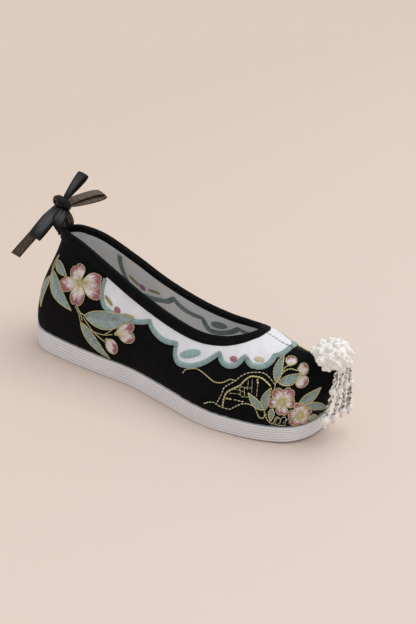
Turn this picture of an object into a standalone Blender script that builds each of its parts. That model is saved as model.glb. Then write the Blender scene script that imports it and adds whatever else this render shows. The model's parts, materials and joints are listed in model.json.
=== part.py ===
"""Embroidered cloth shoe, the right shoe of a pair, with a layered sole, a scalloped collar
panel, a ribbon bow at the heel and a bead pompom with a bead fringe at the toe.

Metres, +Z up. +X points to the toe and +Y to the inner side of the foot. The origin is on
the floor under the waist of the sole. The sizes and tables below are in millimetres.
"""

import math
from collections import namedtuple

import bmesh
import bpy
import numpy as np
from mathutils import Matrix, Vector
from mathutils.bvhtree import BVHTree

MM = 0.001
UP = np.array((0.0, 0.0, 1.0))
OUTER, INNER = -1, 1

# Driving sizes
LAST_LENGTH = 252.0
BALL_WIDTH = 77.0
COLLAR_WIDTH = 34.4
HEEL_HEIGHT = 90.0
HEEL_BACK_X = -128.0
TOE_SWING = 2.5
SWING_START_X = 30.0
WALL = 2.0
GAP = 0.35

# The layered sole and the insole
SOLE_LEDGE = 1.0
SOLE_LAYERS = 6
GROOVE_DEPTH = 0.55
GROOVE_SHARE = 0.14
EDGE_ROUND = 0.8
INSOLE_THICK = 2.0
INSOLE_CLEARANCE = 0.8

# The collar binding, the scalloped panels and their raised borders
BINDING_WIDTH = 7.5
BINDING_FRONT_WIDTH = 4.5
BINDING_TAPER = 14.0
BINDING_THICK = 1.1
PANEL_THICK = 0.8
BORDER_WIDTH = 3.6
BORDER_THICK = 1.4
OVERLAY_GAP = 0.6
CENTRE_SEAM_HALF = 0.25

# The ribbon bow and its strap at the heel
RIBBON_WIDTH = 9.0
RIBBON_PINCH = 0.6
RIBBON_THICK = 0.9
RIBBON_STEPS = 14
TEARDROP_START = 0.75
KNOT_CENTRE = np.array((-110.6, 0.0, 109.0))
KNOT_RADII = (5.0, 6.0, 5.2)
STRAP_WIDTH = 6.0
STRAP_STEPS = 3

# The bead pompom and its fringe
POMPOM_CENTRE = np.array((124.9, 0.9, 60.6))
POMPOM_RADII = np.array((11.3, 11.4, 8.2))
POMPOM_BEADS = 34
POMPOM_BEAD_RADIUS = 3.4
POMPOM_FACES = np.array((0.40, 0.0, 0.92))
POMPOM_BACK = -0.35
STRAND_RADIUS = 1.15
STRAND_MIDDLE_RISE = 20.0
MIDDLE_PEARL_RADIUS = 2.5
END_PEARL_RADIUS = 3.3
DROP_RADIUS = 1.7
DROP_SPACING = 4.6

# How finely the surfaces are cut
STEPS_PER_SECTION = 3
SOLE_STEPS_PER_SECTION = 2
WALL_STEPS = 7
EDGE_STEPS = 14
STEPS_PER_LOBE = 8

# One row for each section of the last, from the back of the heel to the tip of the toe.
# along, top_along: share of LAST_LENGTH, at the sole's edge and at the collar or crest
# outer, inner: share of BALL_WIDTH from the centre line to the sole's edge
# top_half: share of COLLAR_WIDTH from the centre line to the collar, 0 where the vamp closes
# top_height: share of HEEL_HEIGHT above the floor
# rise: share of the wall's height that stands upright above the sole, leaning out by flare
# reach, fall: how far the wall runs out and down from its top edge
Section = namedtuple(
    "Section", "name along outer inner top_along top_half top_height rise flare reach fall"
)
SECTIONS = (
    Section("heel_back", 0.000, 0.000, 0.000, 0.077, 0.000, 1.000, 0.45, 2.0, 3.5, 22.0),
    Section("heel_turn", 0.016, 0.253, 0.247, 0.088, 0.155, 1.005, 0.45, 2.0, 3.5, 22.0),
    Section("heel_side", 0.071, 0.396, 0.385, 0.123, 0.270, 1.005, 0.44, 1.8, 3.5, 22.0),
    Section("heel_front", 0.183, 0.429, 0.409, 0.198, 0.358, 0.967, 0.43, 1.6, 3.5, 21.0),
    Section("quarter", 0.310, 0.419, 0.383, 0.310, 0.413, 0.850, 0.43, 1.5, 3.5, 19.0),
    Section("waist", 0.429, 0.406, 0.357, 0.421, 0.442, 0.728, 0.43, 1.5, 4.0, 17.0),
    Section("instep", 0.556, 0.455, 0.390, 0.540, 0.480, 0.636, 0.43, 1.5, 6.0, 14.0),
    Section("ball_back", 0.659, 0.506, 0.455, 0.635, 0.500, 0.602, 0.42, 1.5, 8.0, 11.0),
    Section("ball", 0.738, 0.516, 0.487, 0.708, 0.442, 0.617, 0.42, 1.5, 11.0, 9.0),
    Section("throat_side", 0.794, 0.491, 0.484, 0.756, 0.291, 0.651, 0.42, 1.5, 14.0, 7.0),
    Section("throat_turn", 0.825, 0.470, 0.468, 0.779, 0.145, 0.673, 0.42, 1.4, 16.0, 5.0),
    Section("throat", 0.849, 0.452, 0.450, 0.787, 0.000, 0.684, 0.42, 1.4, 17.0, 4.0),
    Section("vamp", 0.897, 0.400, 0.396, 0.857, 0.000, 0.629, 0.43, 1.4, 15.0, 2.0),
    Section("toe_side", 0.940, 0.325, 0.319, 0.913, 0.000, 0.618, 0.44, 2.0, 12.0, 1.5),
    Section("toe_turn", 0.970, 0.190, 0.186, 0.960, 0.000, 0.637, 0.45, 5.0, 12.0, 2.0),
    Section("toe_tip", 0.979, 0.000, 0.000, 0.988, 0.000, 0.656, 0.46, 9.0, 13.0, 3.0),
)
LAST_ROW = len(SECTIONS) - 1
ROW_NAMES = [row.name for row in SECTIONS]
THROAT_ROW = ROW_NAMES.index("throat")
TOE_FORM_ROW = ROW_NAMES.index("vamp")

# The sole seen from the side: height of its underside and of its top at shares of its length
SoleLine = namedtuple("SoleLine", "along under top")
SOLE_LINE = (
    SoleLine(0.00, 0.0, 17.0),
    SoleLine(0.14, 0.0, 16.0),
    SoleLine(0.30, 0.0, 14.6),
    SoleLine(0.55, 0.0, 13.8),
    SoleLine(0.72, 0.0, 12.2),
    SoleLine(0.86, 0.5, 11.6),
    SoleLine(0.95, 1.6, 12.2),
    SoleLine(1.00, 3.0, 13.2),
)

# The scallops of each side's collar panel, from its rear end to the crest of the vamp. For each
# lobe: how far along the collar its belly lies and how deep below the collar's edge it hangs,
# then the place and depth of the cusp that ends it. The last lobe ends on the crest.
Lobe = namedtuple("Lobe", "name belly_at belly end cusp")
PANEL_STARTS = {OUTER: 63.0, INNER: 48.8}
LOBES = {
    OUTER: (
        Lobe("rear", 78.0, 27.0, 112.0, 12.8),
        Lobe("step", 127.0, 18.0, 138.0, 15.0),
        Lobe("deep", 147.0, 26.0, 169.0, 12.8),
        Lobe("middle", 177.0, 23.0, 183.0, 18.0),
        Lobe("front", 189.0, 29.0, 193.0, 24.0),
        Lobe("crest", 196.0, 25.5, 197.0, 25.5),
    ),
    INNER: (
        Lobe("rear", 63.0, 41.0, 103.0, 15.0),
        Lobe("step", 118.0, 21.8, 125.5, 20.4),
        Lobe("deep", 132.0, 31.0, 153.0, 17.2),
        Lobe("middle", 168.0, 24.0, 181.0, 18.0),
        Lobe("front", 189.0, 29.0, 193.0, 24.0),
        Lobe("crest", 196.0, 25.5, 197.0, 25.5),
    ),
}
LOBE_DROP_POWER = 0.55
LOBE_RISE_POWER = 0.8

# The bow's ribbons, measured from the knot's centre. A loop leaves from its start, swells by
# belly on both sides of the line to its end and comes back. A tail only runs out to its end.
# face: the way its flat side looks
Ribbon = namedtuple("Ribbon", "name looped start end face belly material")
RIBBONS = (
    Ribbon("bow_loop_outer", True, (-0.4, -1.6, -1.2), (-5.0, -28.0, -21.0), (0.54, -0.71, 0.45),
           3.8, "ribbon_black"),
    Ribbon("bow_flap_outer", False, (-4.7, -4.5, -6.4), (-2.2, -10.2, -22.0), (0.62, -0.70, 0.35),
           0.8, "ribbon_black"),
    Ribbon("bow_tail_outer", False, (-9.2, -0.4, -3.4), (-16.0, -39.5, -35.5), (0.54, -0.71, 0.45),
           1.0, "ribbon_bronze"),
    Ribbon("bow_loop_inner", True, (0.4, 1.6, -0.1), (10.0, 36.5, -2.0), (0.35, -0.45, 0.82),
           4.6, "ribbon_bronze"),
    Ribbon("bow_loop_upper", True, (0.6, 2.4, 2.2), (4.0, 19.0, 18.0), (0.54, -0.71, 0.45),
           3.0, "ribbon_black"),
)

# The strap that joins the bow to the heel, in the shoe's middle plane
StrapPoint = namedtuple("StrapPoint", "x z")
STRAP_PATH = (
    StrapPoint(-113.4, 84.0),
    StrapPoint(-112.8, 92.0),
    StrapPoint(-111.6, 99.0),
    StrapPoint(-109.0, 102.4),
    StrapPoint(-105.4, 101.0),
    StrapPoint(-103.2, 96.8),
    StrapPoint(-103.4, 93.4),
)

# The fringe strands at their top, their middle pearl and their end pearl, from the outer side
Strand = namedtuple("Strand", "top_x top_y top_z middle_x middle_y end_x end_y end_z")
STRANDS = (
    Strand(131.4, -4.4, 52.9, 130.9, -6.7, 129.2, -11.2, 19.4),
    Strand(133.4, -0.8, 52.8, 133.4, -2.0, 131.4, -3.2, 19.0),
    Strand(134.6, 3.0, 54.6, 134.2, 4.2, 132.4, 4.6, 20.5),
    Strand(134.0, 7.2, 56.0, 134.4, 10.0, 133.6, 11.8, 20.0),
    Strand(131.6, 10.4, 53.5, 131.4, 14.0, 129.8, 18.0, 20.6),
)


def catmull_rom(before, start, end, after, share):
    """A point between start and end on the smooth curve through all four."""
    return 0.5 * (
        2 * start
        + (end - before) * share
        + (2 * before - 5 * start + 4 * end - after) * share**2
        + (3 * start - before - 3 * end + after) * share**3
    )


def curve_at(rows, position):
    """The smooth curve through rows, which has one extra row at each end, at a row position."""
    index = min(int(position), len(rows) - 4)
    return catmull_rom(*rows[index : index + 4], position - index)


def smooth_path(points, steps):
    """Points on the smooth curve through the given ones, with steps of them for each span."""
    given = np.array(points, float)
    rows = np.vstack((2 * given[0] - given[1], given, 2 * given[-1] - given[-2]))
    spans = len(given) - 1
    return [curve_at(rows, step / steps) for step in range(spans * steps + 1)]


def unit(vector):
    return np.asarray(vector, float) / np.linalg.norm(vector)


def along_x(share):
    return HEEL_BACK_X + share * LAST_LENGTH


def swing(x):
    """How far the toe bends towards the inner side at x."""
    reach = HEEL_BACK_X + LAST_LENGTH - SWING_START_X
    return TOE_SWING * max(0.0, (x - SWING_START_X) / reach) ** 2


def sole_height(x, edge):
    """Height of the sole's underside or top at x."""
    shares = [row.along for row in SOLE_LINE]
    heights = [getattr(row, edge) for row in SOLE_LINE]
    return float(np.interp((x - HEEL_BACK_X) / LAST_LENGTH, shares, heights))


def mirrored(point):
    return point * np.array((1.0, -1.0, 1.0))


def sole_rows(side):
    """The sole's edge on one side, with the rows of the other side that follow at each end."""

    def edge(row, which):
        half = row.outer if which == OUTER else row.inner
        return np.array((along_x(row.along), which * half * BALL_WIDTH))

    rows = [edge(row, side) for row in SECTIONS]
    return [edge(SECTIONS[1], -side), *rows, edge(SECTIONS[-2], -side)]


def top_rows(side):
    """The collar's rows and the crest's rows on one side, each with an extra row at its ends."""
    top = []
    for row in SECTIONS:
        half = side * row.top_half * COLLAR_WIDTH
        top.append(np.array((along_x(row.top_along), half, row.top_height * HEEL_HEIGHT)))
    collar, crest = top[: THROAT_ROW + 1], top[THROAT_ROW:]
    collar = [mirrored(collar[1]), *collar, mirrored(collar[-2])]
    crest = [2 * crest[0] - crest[1], *crest, crest[-2]]
    return collar, crest


SHAPE_ROWS = [
    np.array((row.rise, row.flare, row.reach, row.fall))
    for row in (SECTIONS[1], *SECTIONS, SECTIONS[-2])
]
SOLE_ROWS = {side: sole_rows(side) for side in (OUTER, INNER)}
TOP_ROWS = {side: top_rows(side) for side in (OUTER, INNER)}


def sole_edge(side, position):
    """The sole's edge in plan, and the level direction straight out of it."""
    rows = SOLE_ROWS[side]
    if position in (0, LAST_ROW):
        return curve_at(rows, position), np.array((-1.0 if position == 0 else 1.0, 0.0))
    step = 0.01
    tangent = unit(curve_at(rows, position + step) - curve_at(rows, position - step))
    return curve_at(rows, position), side * np.array((-tangent[1], tangent[0]))


def top_edge(side, position):
    """The collar's edge, or the crest of the vamp in front of it."""
    collar, crest = TOP_ROWS[side]
    if position <= THROAT_ROW:
        return curve_at(collar, position)
    return curve_at(crest, position - THROAT_ROW)


def wall_point(side, position, up):
    """The upper's outer face: up runs from 0 at the sole to 1 at the collar or crest."""
    edge, outward = sole_edge(side, position)
    rise, flare, reach, fall = curve_at(SHAPE_ROWS, position)
    out = np.array((*outward, 0.0))
    foot = np.array((*edge, sole_height(edge[0], "top") + GAP))
    top = top_edge(side, position)
    low_handle = foot + UP * rise * (top[2] - foot[2]) + out * flare
    high_handle = top + out * reach - UP * fall
    rest = 1 - up
    point = (
        foot * rest**3
        + low_handle * 3 * up * rest**2
        + high_handle * 3 * up**2 * rest
        + top * up**3
    )
    point[1] += swing(point[0])
    return point


def row_positions(steps, first=0, last=LAST_ROW):
    return [first + step / steps for step in range((last - first) * steps + 1)]


def make_material(name, colour, roughness, metallic=0.0):
    material = bpy.data.materials.new(name)
    material.use_nodes = True
    shader = material.node_tree.nodes["Principled BSDF"]
    shader.inputs["Base Color"].default_value = (*colour, 1.0)
    shader.inputs["Roughness"].default_value = roughness
    shader.inputs["Metallic"].default_value = metallic
    return material


def add_object(name, data, collection, material):
    """Links a mesh or curve to the collection as an object with the given material."""
    thing = bpy.data.objects.new(name, data)
    collection.objects.link(thing)
    data.materials.append(material)
    if thing.type == "MESH":
        data.shade_smooth()
        data.set_sharp_from_angle(angle=math.radians(40))
    return thing


def mesh_from(name, points, faces, merge=0.0, swell=0.0):
    """A mesh in metres from points in millimetres, its faces turned to point outwards."""
    form = bmesh.new()
    verts = [form.verts.new(Vector(point) * MM) for point in points]
    for face in faces:
        form.faces.new([verts[index] for index in face])
    if merge:
        bmesh.ops.remove_doubles(form, verts=form.verts, dist=merge * MM)
    bmesh.ops.recalc_face_normals(form, faces=form.faces)
    form.normal_update()
    for vert in form.verts:
        vert.co += vert.normal * swell * MM
    mesh = bpy.data.meshes.new(name)
    form.to_mesh(mesh)
    form.free()
    return mesh


def grid_faces(rows, columns, wrap=False):
    """Quads between rows of points that lie one after another, closed into a ring by wrap."""
    faces = []
    for row in range(rows - 1):
        here, ahead = row * columns, (row + 1) * columns
        for column in range(columns if wrap else columns - 1):
            beside = (column + 1) % columns
            faces.append((here + column, here + beside, ahead + beside, ahead + column))
    return faces


def cap_faces(first, stations):
    """Strips that close a loop of points which runs out along one side and back on the other."""
    count = 2 * (stations - 1)
    faces = []
    for near in range(stations - 1):
        far = near + 1
        corners = dict.fromkeys((near, far, -far % count, -near % count))
        faces.append(tuple(first + corner for corner in corners))
    return faces


def sole_loop(inset, steps):
    """The sole's outline as one closed loop, out along the outer side and back on the inner."""
    positions = row_positions(steps)
    stops = [(OUTER, position) for position in positions]
    stops += [(INNER, position) for position in reversed(positions[1:-1])]
    loop = []
    for side, position in stops:
        edge, outward = sole_edge(side, position)
        x, y = edge - outward * inset
        loop.append((x, y + swing(edge[0])))
    return loop


def sole_solid(name, levels, steps):
    """A closed solid of rings: each level is an inset from the sole's edge and a height at x."""
    points = []
    for inset, height in levels:
        points += [(x, y, height(x)) for x, y in sole_loop(inset, steps)]
    stations = LAST_ROW * steps + 1
    ring = 2 * (stations - 1)
    faces = grid_faces(len(levels), ring, wrap=True)
    faces += cap_faces(0, stations)
    faces += cap_faces((len(levels) - 1) * ring, stations)
    return mesh_from(name, points, faces)


def outsole_levels():
    """The stacked layers of the sole's side, with a groove between each two."""

    def height(share):
        return lambda x: sole_height(x, "under") * (1 - share) + sole_height(x, "top") * share

    edge = -SOLE_LEDGE
    levels = [(edge + EDGE_ROUND, height(0.0))]
    for layer in range(SOLE_LAYERS):
        low = (layer + GROOVE_SHARE) / SOLE_LAYERS
        high = (layer + 1 - GROOVE_SHARE) / SOLE_LAYERS
        levels += [(edge, height(low)), (edge, height(high))]
        if layer < SOLE_LAYERS - 1:
            levels.append((edge + GROOVE_DEPTH, height((layer + 1) / SOLE_LAYERS)))
    levels.append((edge + EDGE_ROUND, height(1.0)))
    return levels


def make_sole_pieces(collection, materials):
    """The layered outsole, and the thin insole that lies on it inside the upper."""
    outsole = sole_solid("outsole", outsole_levels(), SOLE_STEPS_PER_SECTION)
    add_object("outsole", outsole, collection, materials["sole_white"])
    inset = WALL + INSOLE_CLEARANCE
    insole_levels = [
        (inset, lambda x: sole_height(x, "top") + GAP),
        (inset, lambda x: sole_height(x, "top") + GAP + INSOLE_THICK),
    ]
    insole = sole_solid("insole", insole_levels, SOLE_STEPS_PER_SECTION)
    add_object("insole", insole, collection, materials["lining_white"])


def wall_mesh(name):
    """The upper's outer face as one open sheet, closed over the vamp and open at the collar."""
    positions = row_positions(STEPS_PER_SECTION)
    shares = [step / WALL_STEPS for step in range(WALL_STEPS + 1)]
    points, faces = [], []
    for side in (OUTER, INNER):
        first = len(points)
        points += [wall_point(side, position, up) for position in positions for up in shares]
        grid = grid_faces(len(positions), len(shares))
        faces += [tuple(first + index for index in face[::side]) for face in grid]
    return mesh_from(name, points, faces, merge=0.01)


def make_upper(collection, materials):
    """One hollow wall, thickened inwards from its outer face."""
    upper = add_object("upper", wall_mesh("upper"), collection, materials["black_cloth"])
    thicken = upper.modifiers.new("wall", "SOLIDIFY")
    thicken.thickness = WALL * MM
    thicken.offset = -1.0
    thicken.use_even_offset = True


class CollarBand:
    """Places points on the upper by how far they lie along the collar and below its edge."""

    def __init__(self):
        face = wall_mesh("outer_face")
        self.tree = BVHTree.FromPolygons(
            [vertex.co / MM for vertex in face.vertices],
            [tuple(polygon.vertices) for polygon in face.polygons],
        )
        bpy.data.meshes.remove(face)
        fine = STEPS_PER_SECTION * EDGE_STEPS
        positions = row_positions(fine, last=THROAT_ROW)
        self.edges = {
            side: np.array([wall_point(side, position, 1.0) for position in positions])
            for side in (OUTER, INNER)
        }
        steps = np.linalg.norm(np.diff(self.edges[OUTER], axis=0), axis=1)
        self.lengths = np.concatenate(([0.0], np.cumsum(steps)))
        self.length = self.lengths[-1]
        self.stations = self.lengths[::EDGE_STEPS]

    def edge(self, side, along):
        """The collar's edge, the way out of the opening along the upper, and the upper's normal."""
        columns = self.edges[side].T
        low, high = max(along - 0.5, 0.0), min(along + 0.5, self.length)
        here, behind, ahead = (
            np.array([np.interp(value, self.lengths, column) for column in columns])
            for value in (along, low, high)
        )
        tangent = ahead - behind
        if along in (0.0, self.length):
            tangent = np.array((0.0, tangent[1], 0.0))
        normal = self.surface(here)[1]
        return here, unit(np.cross(tangent, normal) * -side), normal

    def surface(self, point):
        """The nearest place on the upper's outer face, and the normal there."""
        place, normal, _, _ = self.tree.find_nearest(Vector(point))
        return np.array(place), np.array(normal)

    def at(self, side, along, depth):
        """A place on the upper's outer face below the collar's edge."""
        here, away, _ = self.edge(side, along)
        return self.surface(here + away * depth)[0]


def binding_width(along, length):
    """The binding narrows towards the front of the throat."""
    share = max(0.0, 1 - (length - along) / BINDING_TAPER)
    return BINDING_WIDTH + (BINDING_FRONT_WIDTH - BINDING_WIDTH) * share


def binding_profile(width):
    """The folded tape on the collar's edge: depths below the edge and lifts off the outer face."""
    low, middle, over = width, width / 2, -GAP
    near, far = OVERLAY_GAP, OVERLAY_GAP + BINDING_THICK
    inside_near, inside_far = -(WALL + near), -(WALL + far)
    return (
        (low, near),
        (low, far),
        (middle, far),
        (over, far),
        (over - BINDING_THICK, near),
        (over - BINDING_THICK, inside_near),
        (over, inside_far),
        (middle, inside_far),
        (low, inside_far),
        (low, inside_near),
        (over, inside_near),
        (over, near),
    )


def make_binding(band, collection, materials):
    """The black tape folded over the collar's edge all the way round."""
    stops = [(OUTER, along) for along in band.stations]
    stops += [(INNER, along) for along in reversed(band.stations[1:-1])]
    points = []
    for side, along in stops:
        here, away, normal = band.edge(side, along)
        profile = binding_profile(binding_width(along, band.length))
        for depth, lift in profile:
            place, out = here + away * depth, normal
            if depth > 0:
                place, out = band.surface(place)
            points.append(place + out * lift)
    around = len(profile)
    faces = grid_faces(len(stops), around, wrap=True)
    last = (len(stops) - 1) * around
    for corner in range(around):
        beside = (corner + 1) % around
        faces.append((last + corner, last + beside, beside, corner))
    mesh = mesh_from("collar_binding", points, faces)
    add_object("collar_binding", mesh, collection, materials["black_binding"])


def scallop_line(band, side):
    """The panel's lower edge as distances along the collar and depths below it."""
    line = []
    start, depth = PANEL_STARTS[side], BINDING_WIDTH + 3 * GAP
    half = STEPS_PER_LOBE // 2
    for lobe in LOBES[side]:
        end = band.length if lobe is LOBES[side][-1] else lobe.end
        for step in range(half):
            share = (step / half) ** 2
            drop = math.sin(math.pi / 2 * share) ** LOBE_DROP_POWER
            line.append((start + (lobe.belly_at - start) * share, depth + (lobe.belly - depth) * drop))
        for step in range(half):
            share = 1 - (1 - step / half) ** 1.5
            rise = math.cos(math.pi / 2 * share) ** LOBE_RISE_POWER
            along = lobe.belly_at + (end - lobe.belly_at) * share
            line.append((along, lobe.cusp + (lobe.belly - lobe.cusp) * rise))
        start, depth = end, lobe.cusp
    line.append((start, depth))
    return line


def thin_piece(name, band, side, rows, thick, collection, material):
    """A closed thin piece on the upper: each row holds the places across it at one station."""
    points = []
    for row in rows:
        section = [(place, OVERLAY_GAP) for place in row]
        section += [(place, OVERLAY_GAP + thick) for place in row[::-1]]
        for place, lift in section:
            on_face, normal = band.surface(place)
            point = on_face + normal * lift
            seam = swing(point[0]) + side * CENTRE_SEAM_HALF
            point[1] = side * max(side * point[1], side * seam)
            points.append(point)
    around = 2 * len(rows[0])
    faces = grid_faces(len(rows), around, wrap=True)
    last = (len(rows) - 1) * around
    faces += [tuple(range(around)), tuple(range(last, last + around))]
    add_object(name, mesh_from(name, points, faces), collection, material)


def make_panels(band, collection, materials):
    """The white scalloped panel of each side and the raised border along its edge."""
    margin = BORDER_WIDTH + GAP
    for side, name in ((OUTER, "outer"), (INNER, "inner")):
        line = scallop_line(band, side)
        reach = band.length - PANEL_STARTS[side]
        squeeze = (reach - margin) / reach
        edge = np.array([band.at(side, along, depth) for along, depth in line])
        tangents = np.gradient(edge, axis=0)
        border, panel = [], []
        for (along, _), place, tangent in zip(line, edge, tangents):
            inward = side * unit(np.cross(tangent, band.surface(place)[1]))
            border.append((place, place + inward * BORDER_WIDTH))
            low = place + inward * margin
            top_along = band.length - (band.length - along) * squeeze
            top = band.at(side, top_along, binding_width(top_along, band.length) + GAP)
            panel.append((top, (top + low) / 2, low))
        thin_piece(f"panel_border_{name}", band, side, border, BORDER_THICK, collection,
                   materials["teal_thread"])
        thin_piece(f"collar_panel_{name}", band, side, panel[1:], PANEL_THICK, collection,
                   materials["white_satin"])


def ribbon_solid(name, path, across, widths, collection, material):
    """A flat ribbon of even thickness along a path, across being the direction of its width."""
    points = []
    for place, width in zip(path, widths):
        points += [place - across * width / 2, place + across * width / 2]
    mesh = mesh_from(name, points, grid_faces(len(path), 2))
    ribbon = add_object(name, mesh, collection, material)
    thicken = ribbon.modifiers.new("thickness", "SOLIDIFY")
    thicken.thickness = RIBBON_THICK * MM
    thicken.offset = 0.0


def ribbon_path(row):
    """Points along a bow ribbon's middle, with the share of the way from the knot for each."""
    start, end, face = np.array(row.start), np.array(row.end), unit(row.face)
    path, shares = [], []
    for step in range(RIBBON_STEPS + 1):
        share = step / RIBBON_STEPS
        swell = math.sin(math.pi * share)
        if row.looped:
            turn = TEARDROP_START + (2 * math.pi - 2 * TEARDROP_START) * share
            share = (1 - math.cos(turn)) / 2
            swell = math.sin(turn) * math.sin(turn / 2)
        path.append(KNOT_CENTRE + start + (end - start) * share + face * row.belly * swell)
        shares.append(share)
    return path, shares


def ball_mesh(name, centre, radii, fineness):
    """A round or squashed ball."""
    form = bmesh.new()
    place = Matrix.LocRotScale(Vector(centre) * MM, None, Vector(radii) * MM)
    bmesh.ops.create_icosphere(form, subdivisions=fineness, radius=1.0, matrix=place)
    mesh = bpy.data.meshes.new(name)
    form.to_mesh(mesh)
    form.free()
    return mesh


def make_bow(collection, materials):
    """The knot, the ribbons tied in it and the strap that holds it on the back of the heel."""
    knot = ball_mesh("bow_knot", KNOT_CENTRE, KNOT_RADII, 2)
    add_object("bow_knot", knot, collection, materials["ribbon_black"])
    for row in RIBBONS:
        path, shares = ribbon_path(row)
        across = unit(np.cross(np.subtract(row.end, row.start), row.face))
        widths = [RIBBON_WIDTH * min(1.0, RIBBON_PINCH + share) for share in shares]
        ribbon_solid(row.name, path, across, widths, collection, materials[row.material])
    strap = smooth_path([(point.x, 0.0, point.z) for point in STRAP_PATH], STRAP_STEPS)
    sideways = np.array((0.0, 1.0, 0.0))
    widths = [STRAP_WIDTH] * len(strap)
    ribbon_solid("heel_strap", strap, sideways, widths, collection, materials["ribbon_black"])


def toe_form():
    """The front of the upper as one closed form, a gap larger than the upper itself."""
    positions = row_positions(STEPS_PER_SECTION, first=TOE_FORM_ROW)
    columns = WALL_STEPS + 1
    points, faces = [], []
    for side in (OUTER, INNER):
        first = len(points)
        for position in positions:
            points += [wall_point(side, position, step / WALL_STEPS) for step in range(columns)]
        grid = grid_faces(len(positions), columns)
        faces += [tuple(first + index for index in face) for face in grid]
    across = len(positions) * columns
    for station in range(len(positions) - 1):
        low, ahead = station * columns, (station + 1) * columns
        faces.append((low, ahead, across + ahead, across + low))
    for step in range(WALL_STEPS):
        faces.append((step, step + 1, across + step + 1, across + step))
    return mesh_from("toe_form", points, faces, merge=0.01, swell=GAP)


def even_directions(count):
    """Directions spread evenly over a ball."""
    golden = math.pi * (3 - math.sqrt(5))
    directions = []
    for index in range(count):
        height = 1 - 2 * (index + 0.5) / count
        level = math.sqrt(1 - height**2)
        turn = golden * index
        directions.append(np.array((level * math.cos(turn), level * math.sin(turn), height)))
    return directions


def add_boolean(thing, name, operation):
    modifier = thing.modifiers.new(name, "BOOLEAN")
    modifier.operation = operation
    modifier.solver = "EXACT"
    return modifier


def hide(thing):
    thing.hide_render = True
    thing.display_type = "WIRE"


def make_pompom(collection, cutters, materials):
    """A round cluster of beads, cut to sit on the peak of the toe."""
    material = materials["pearl_white"]
    core = ball_mesh("bead_pompom", POMPOM_CENTRE, POMPOM_RADII, 2)
    pompom = add_object("bead_pompom", core, collection, material)
    beads = bpy.data.collections.new("pompom_beads")
    cutters.children.link(beads)
    for direction in even_directions(POMPOM_BEADS):
        if direction @ unit(POMPOM_FACES) > POMPOM_BACK:
            centre = POMPOM_CENTRE + direction * POMPOM_RADII
            bead = ball_mesh("pompom_bead", centre, (POMPOM_BEAD_RADIUS,) * 3, 1)
            hide(add_object("pompom_bead", bead, beads, material))
    union = add_boolean(pompom, "beads", "UNION")
    union.operand_type = "COLLECTION"
    union.collection = beads
    seat = add_object("toe_form", toe_form(), cutters, materials["black_cloth"])
    hide(seat)
    add_boolean(pompom, "seat", "DIFFERENCE").object = seat


def strand_stations(row):
    """Heights down a strand with its radius at each, wider where a pearl is threaded."""
    pearls = (
        (row.end_z + STRAND_MIDDLE_RISE, MIDDLE_PEARL_RADIUS),
        (row.end_z, END_PEARL_RADIUS),
        (row.end_z - DROP_SPACING, DROP_RADIUS),
    )
    stations = [(row.top_z, STRAND_RADIUS)]
    for centre, radius in pearls:
        for turn in range(-80, 81, 32):
            height = centre - radius * math.sin(math.radians(turn))
            stations.append((height, max(STRAND_RADIUS, radius * math.cos(math.radians(turn)))))
    return sorted(stations, reverse=True)


def make_strands(collection, materials):
    """The bead strands that hang from the pompom, each with a middle and an end pearl."""
    for number, row in enumerate(STRANDS, 1):
        name = f"fringe_strand_{number}"
        curve = bpy.data.curves.new(name, "CURVE")
        curve.dimensions = "3D"
        curve.bevel_depth = MM
        curve.bevel_resolution = 1
        curve.use_fill_caps = True
        stations = strand_stations(row)
        heights = (row.end_z, row.end_z + STRAND_MIDDLE_RISE, row.top_z)
        spline = curve.splines.new("POLY")
        spline.points.add(len(stations) - 1)
        for point, (height, radius) in zip(spline.points, stations):
            x = np.interp(height, heights, (row.end_x, row.middle_x, row.top_x))
            y = np.interp(height, heights, (row.end_y, row.middle_y, row.top_y))
            point.co = (x * MM, y * MM, height * MM, 1.0)
            point.radius = radius
        add_object(name, curve, collection, materials["pearl_white"])


def main():
    for thing in list(bpy.data.objects):
        bpy.data.objects.remove(thing)
    collection = bpy.data.collections.new("embroidered_cloth_shoe")
    cutters = bpy.data.collections.new("cutters")
    bpy.context.scene.collection.children.link(collection)
    bpy.context.scene.collection.children.link(cutters)
    materials = {
        "sole_white": make_material("sole_white", (0.80, 0.77, 0.75), 0.75),
        "lining_white": make_material("lining_white", (0.72, 0.68, 0.65), 0.85),
        "black_cloth": make_material("black_cloth", (0.010, 0.010, 0.011), 0.85),
        "black_binding": make_material("black_binding", (0.012, 0.012, 0.014), 0.75),
        "white_satin": make_material("white_satin", (0.82, 0.81, 0.83), 0.55),
        "teal_thread": make_material("teal_thread", (0.28, 0.50, 0.49), 0.50),
        "ribbon_black": make_material("ribbon_black", (0.015, 0.015, 0.018), 0.55),
        "ribbon_bronze": make_material("ribbon_bronze", (0.19, 0.12, 0.085), 0.45, 0.5),
        "pearl_white": make_material("pearl_white", (0.88, 0.85, 0.81), 0.20),
    }
    make_sole_pieces(collection, materials)
    make_upper(collection, materials)
    band = CollarBand()
    make_binding(band, collection, materials)
    make_panels(band, collection, materials)
    make_bow(collection, materials)
    make_pompom(collection, cutters, materials)
    make_strands(collection, materials)


main()
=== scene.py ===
# %% [markdown]
# # An embroidered cloth shoe
# The real shoe is a stack of white cloth for the sole, a black cloth upper with a pale lining, a
# white scalloped panel round the collar, silk and gold embroidery, a ribbon bow at the heel and a
# bunch of beads at the toe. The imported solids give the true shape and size. This lesson lays the
# cloth, thread and beads over them, one material after another.

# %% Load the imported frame
import json
import math
import random
from collections import namedtuple

import bmesh
import bpy
import numpy as np
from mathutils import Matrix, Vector
from mathutils.bvhtree import BVHTree

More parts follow.
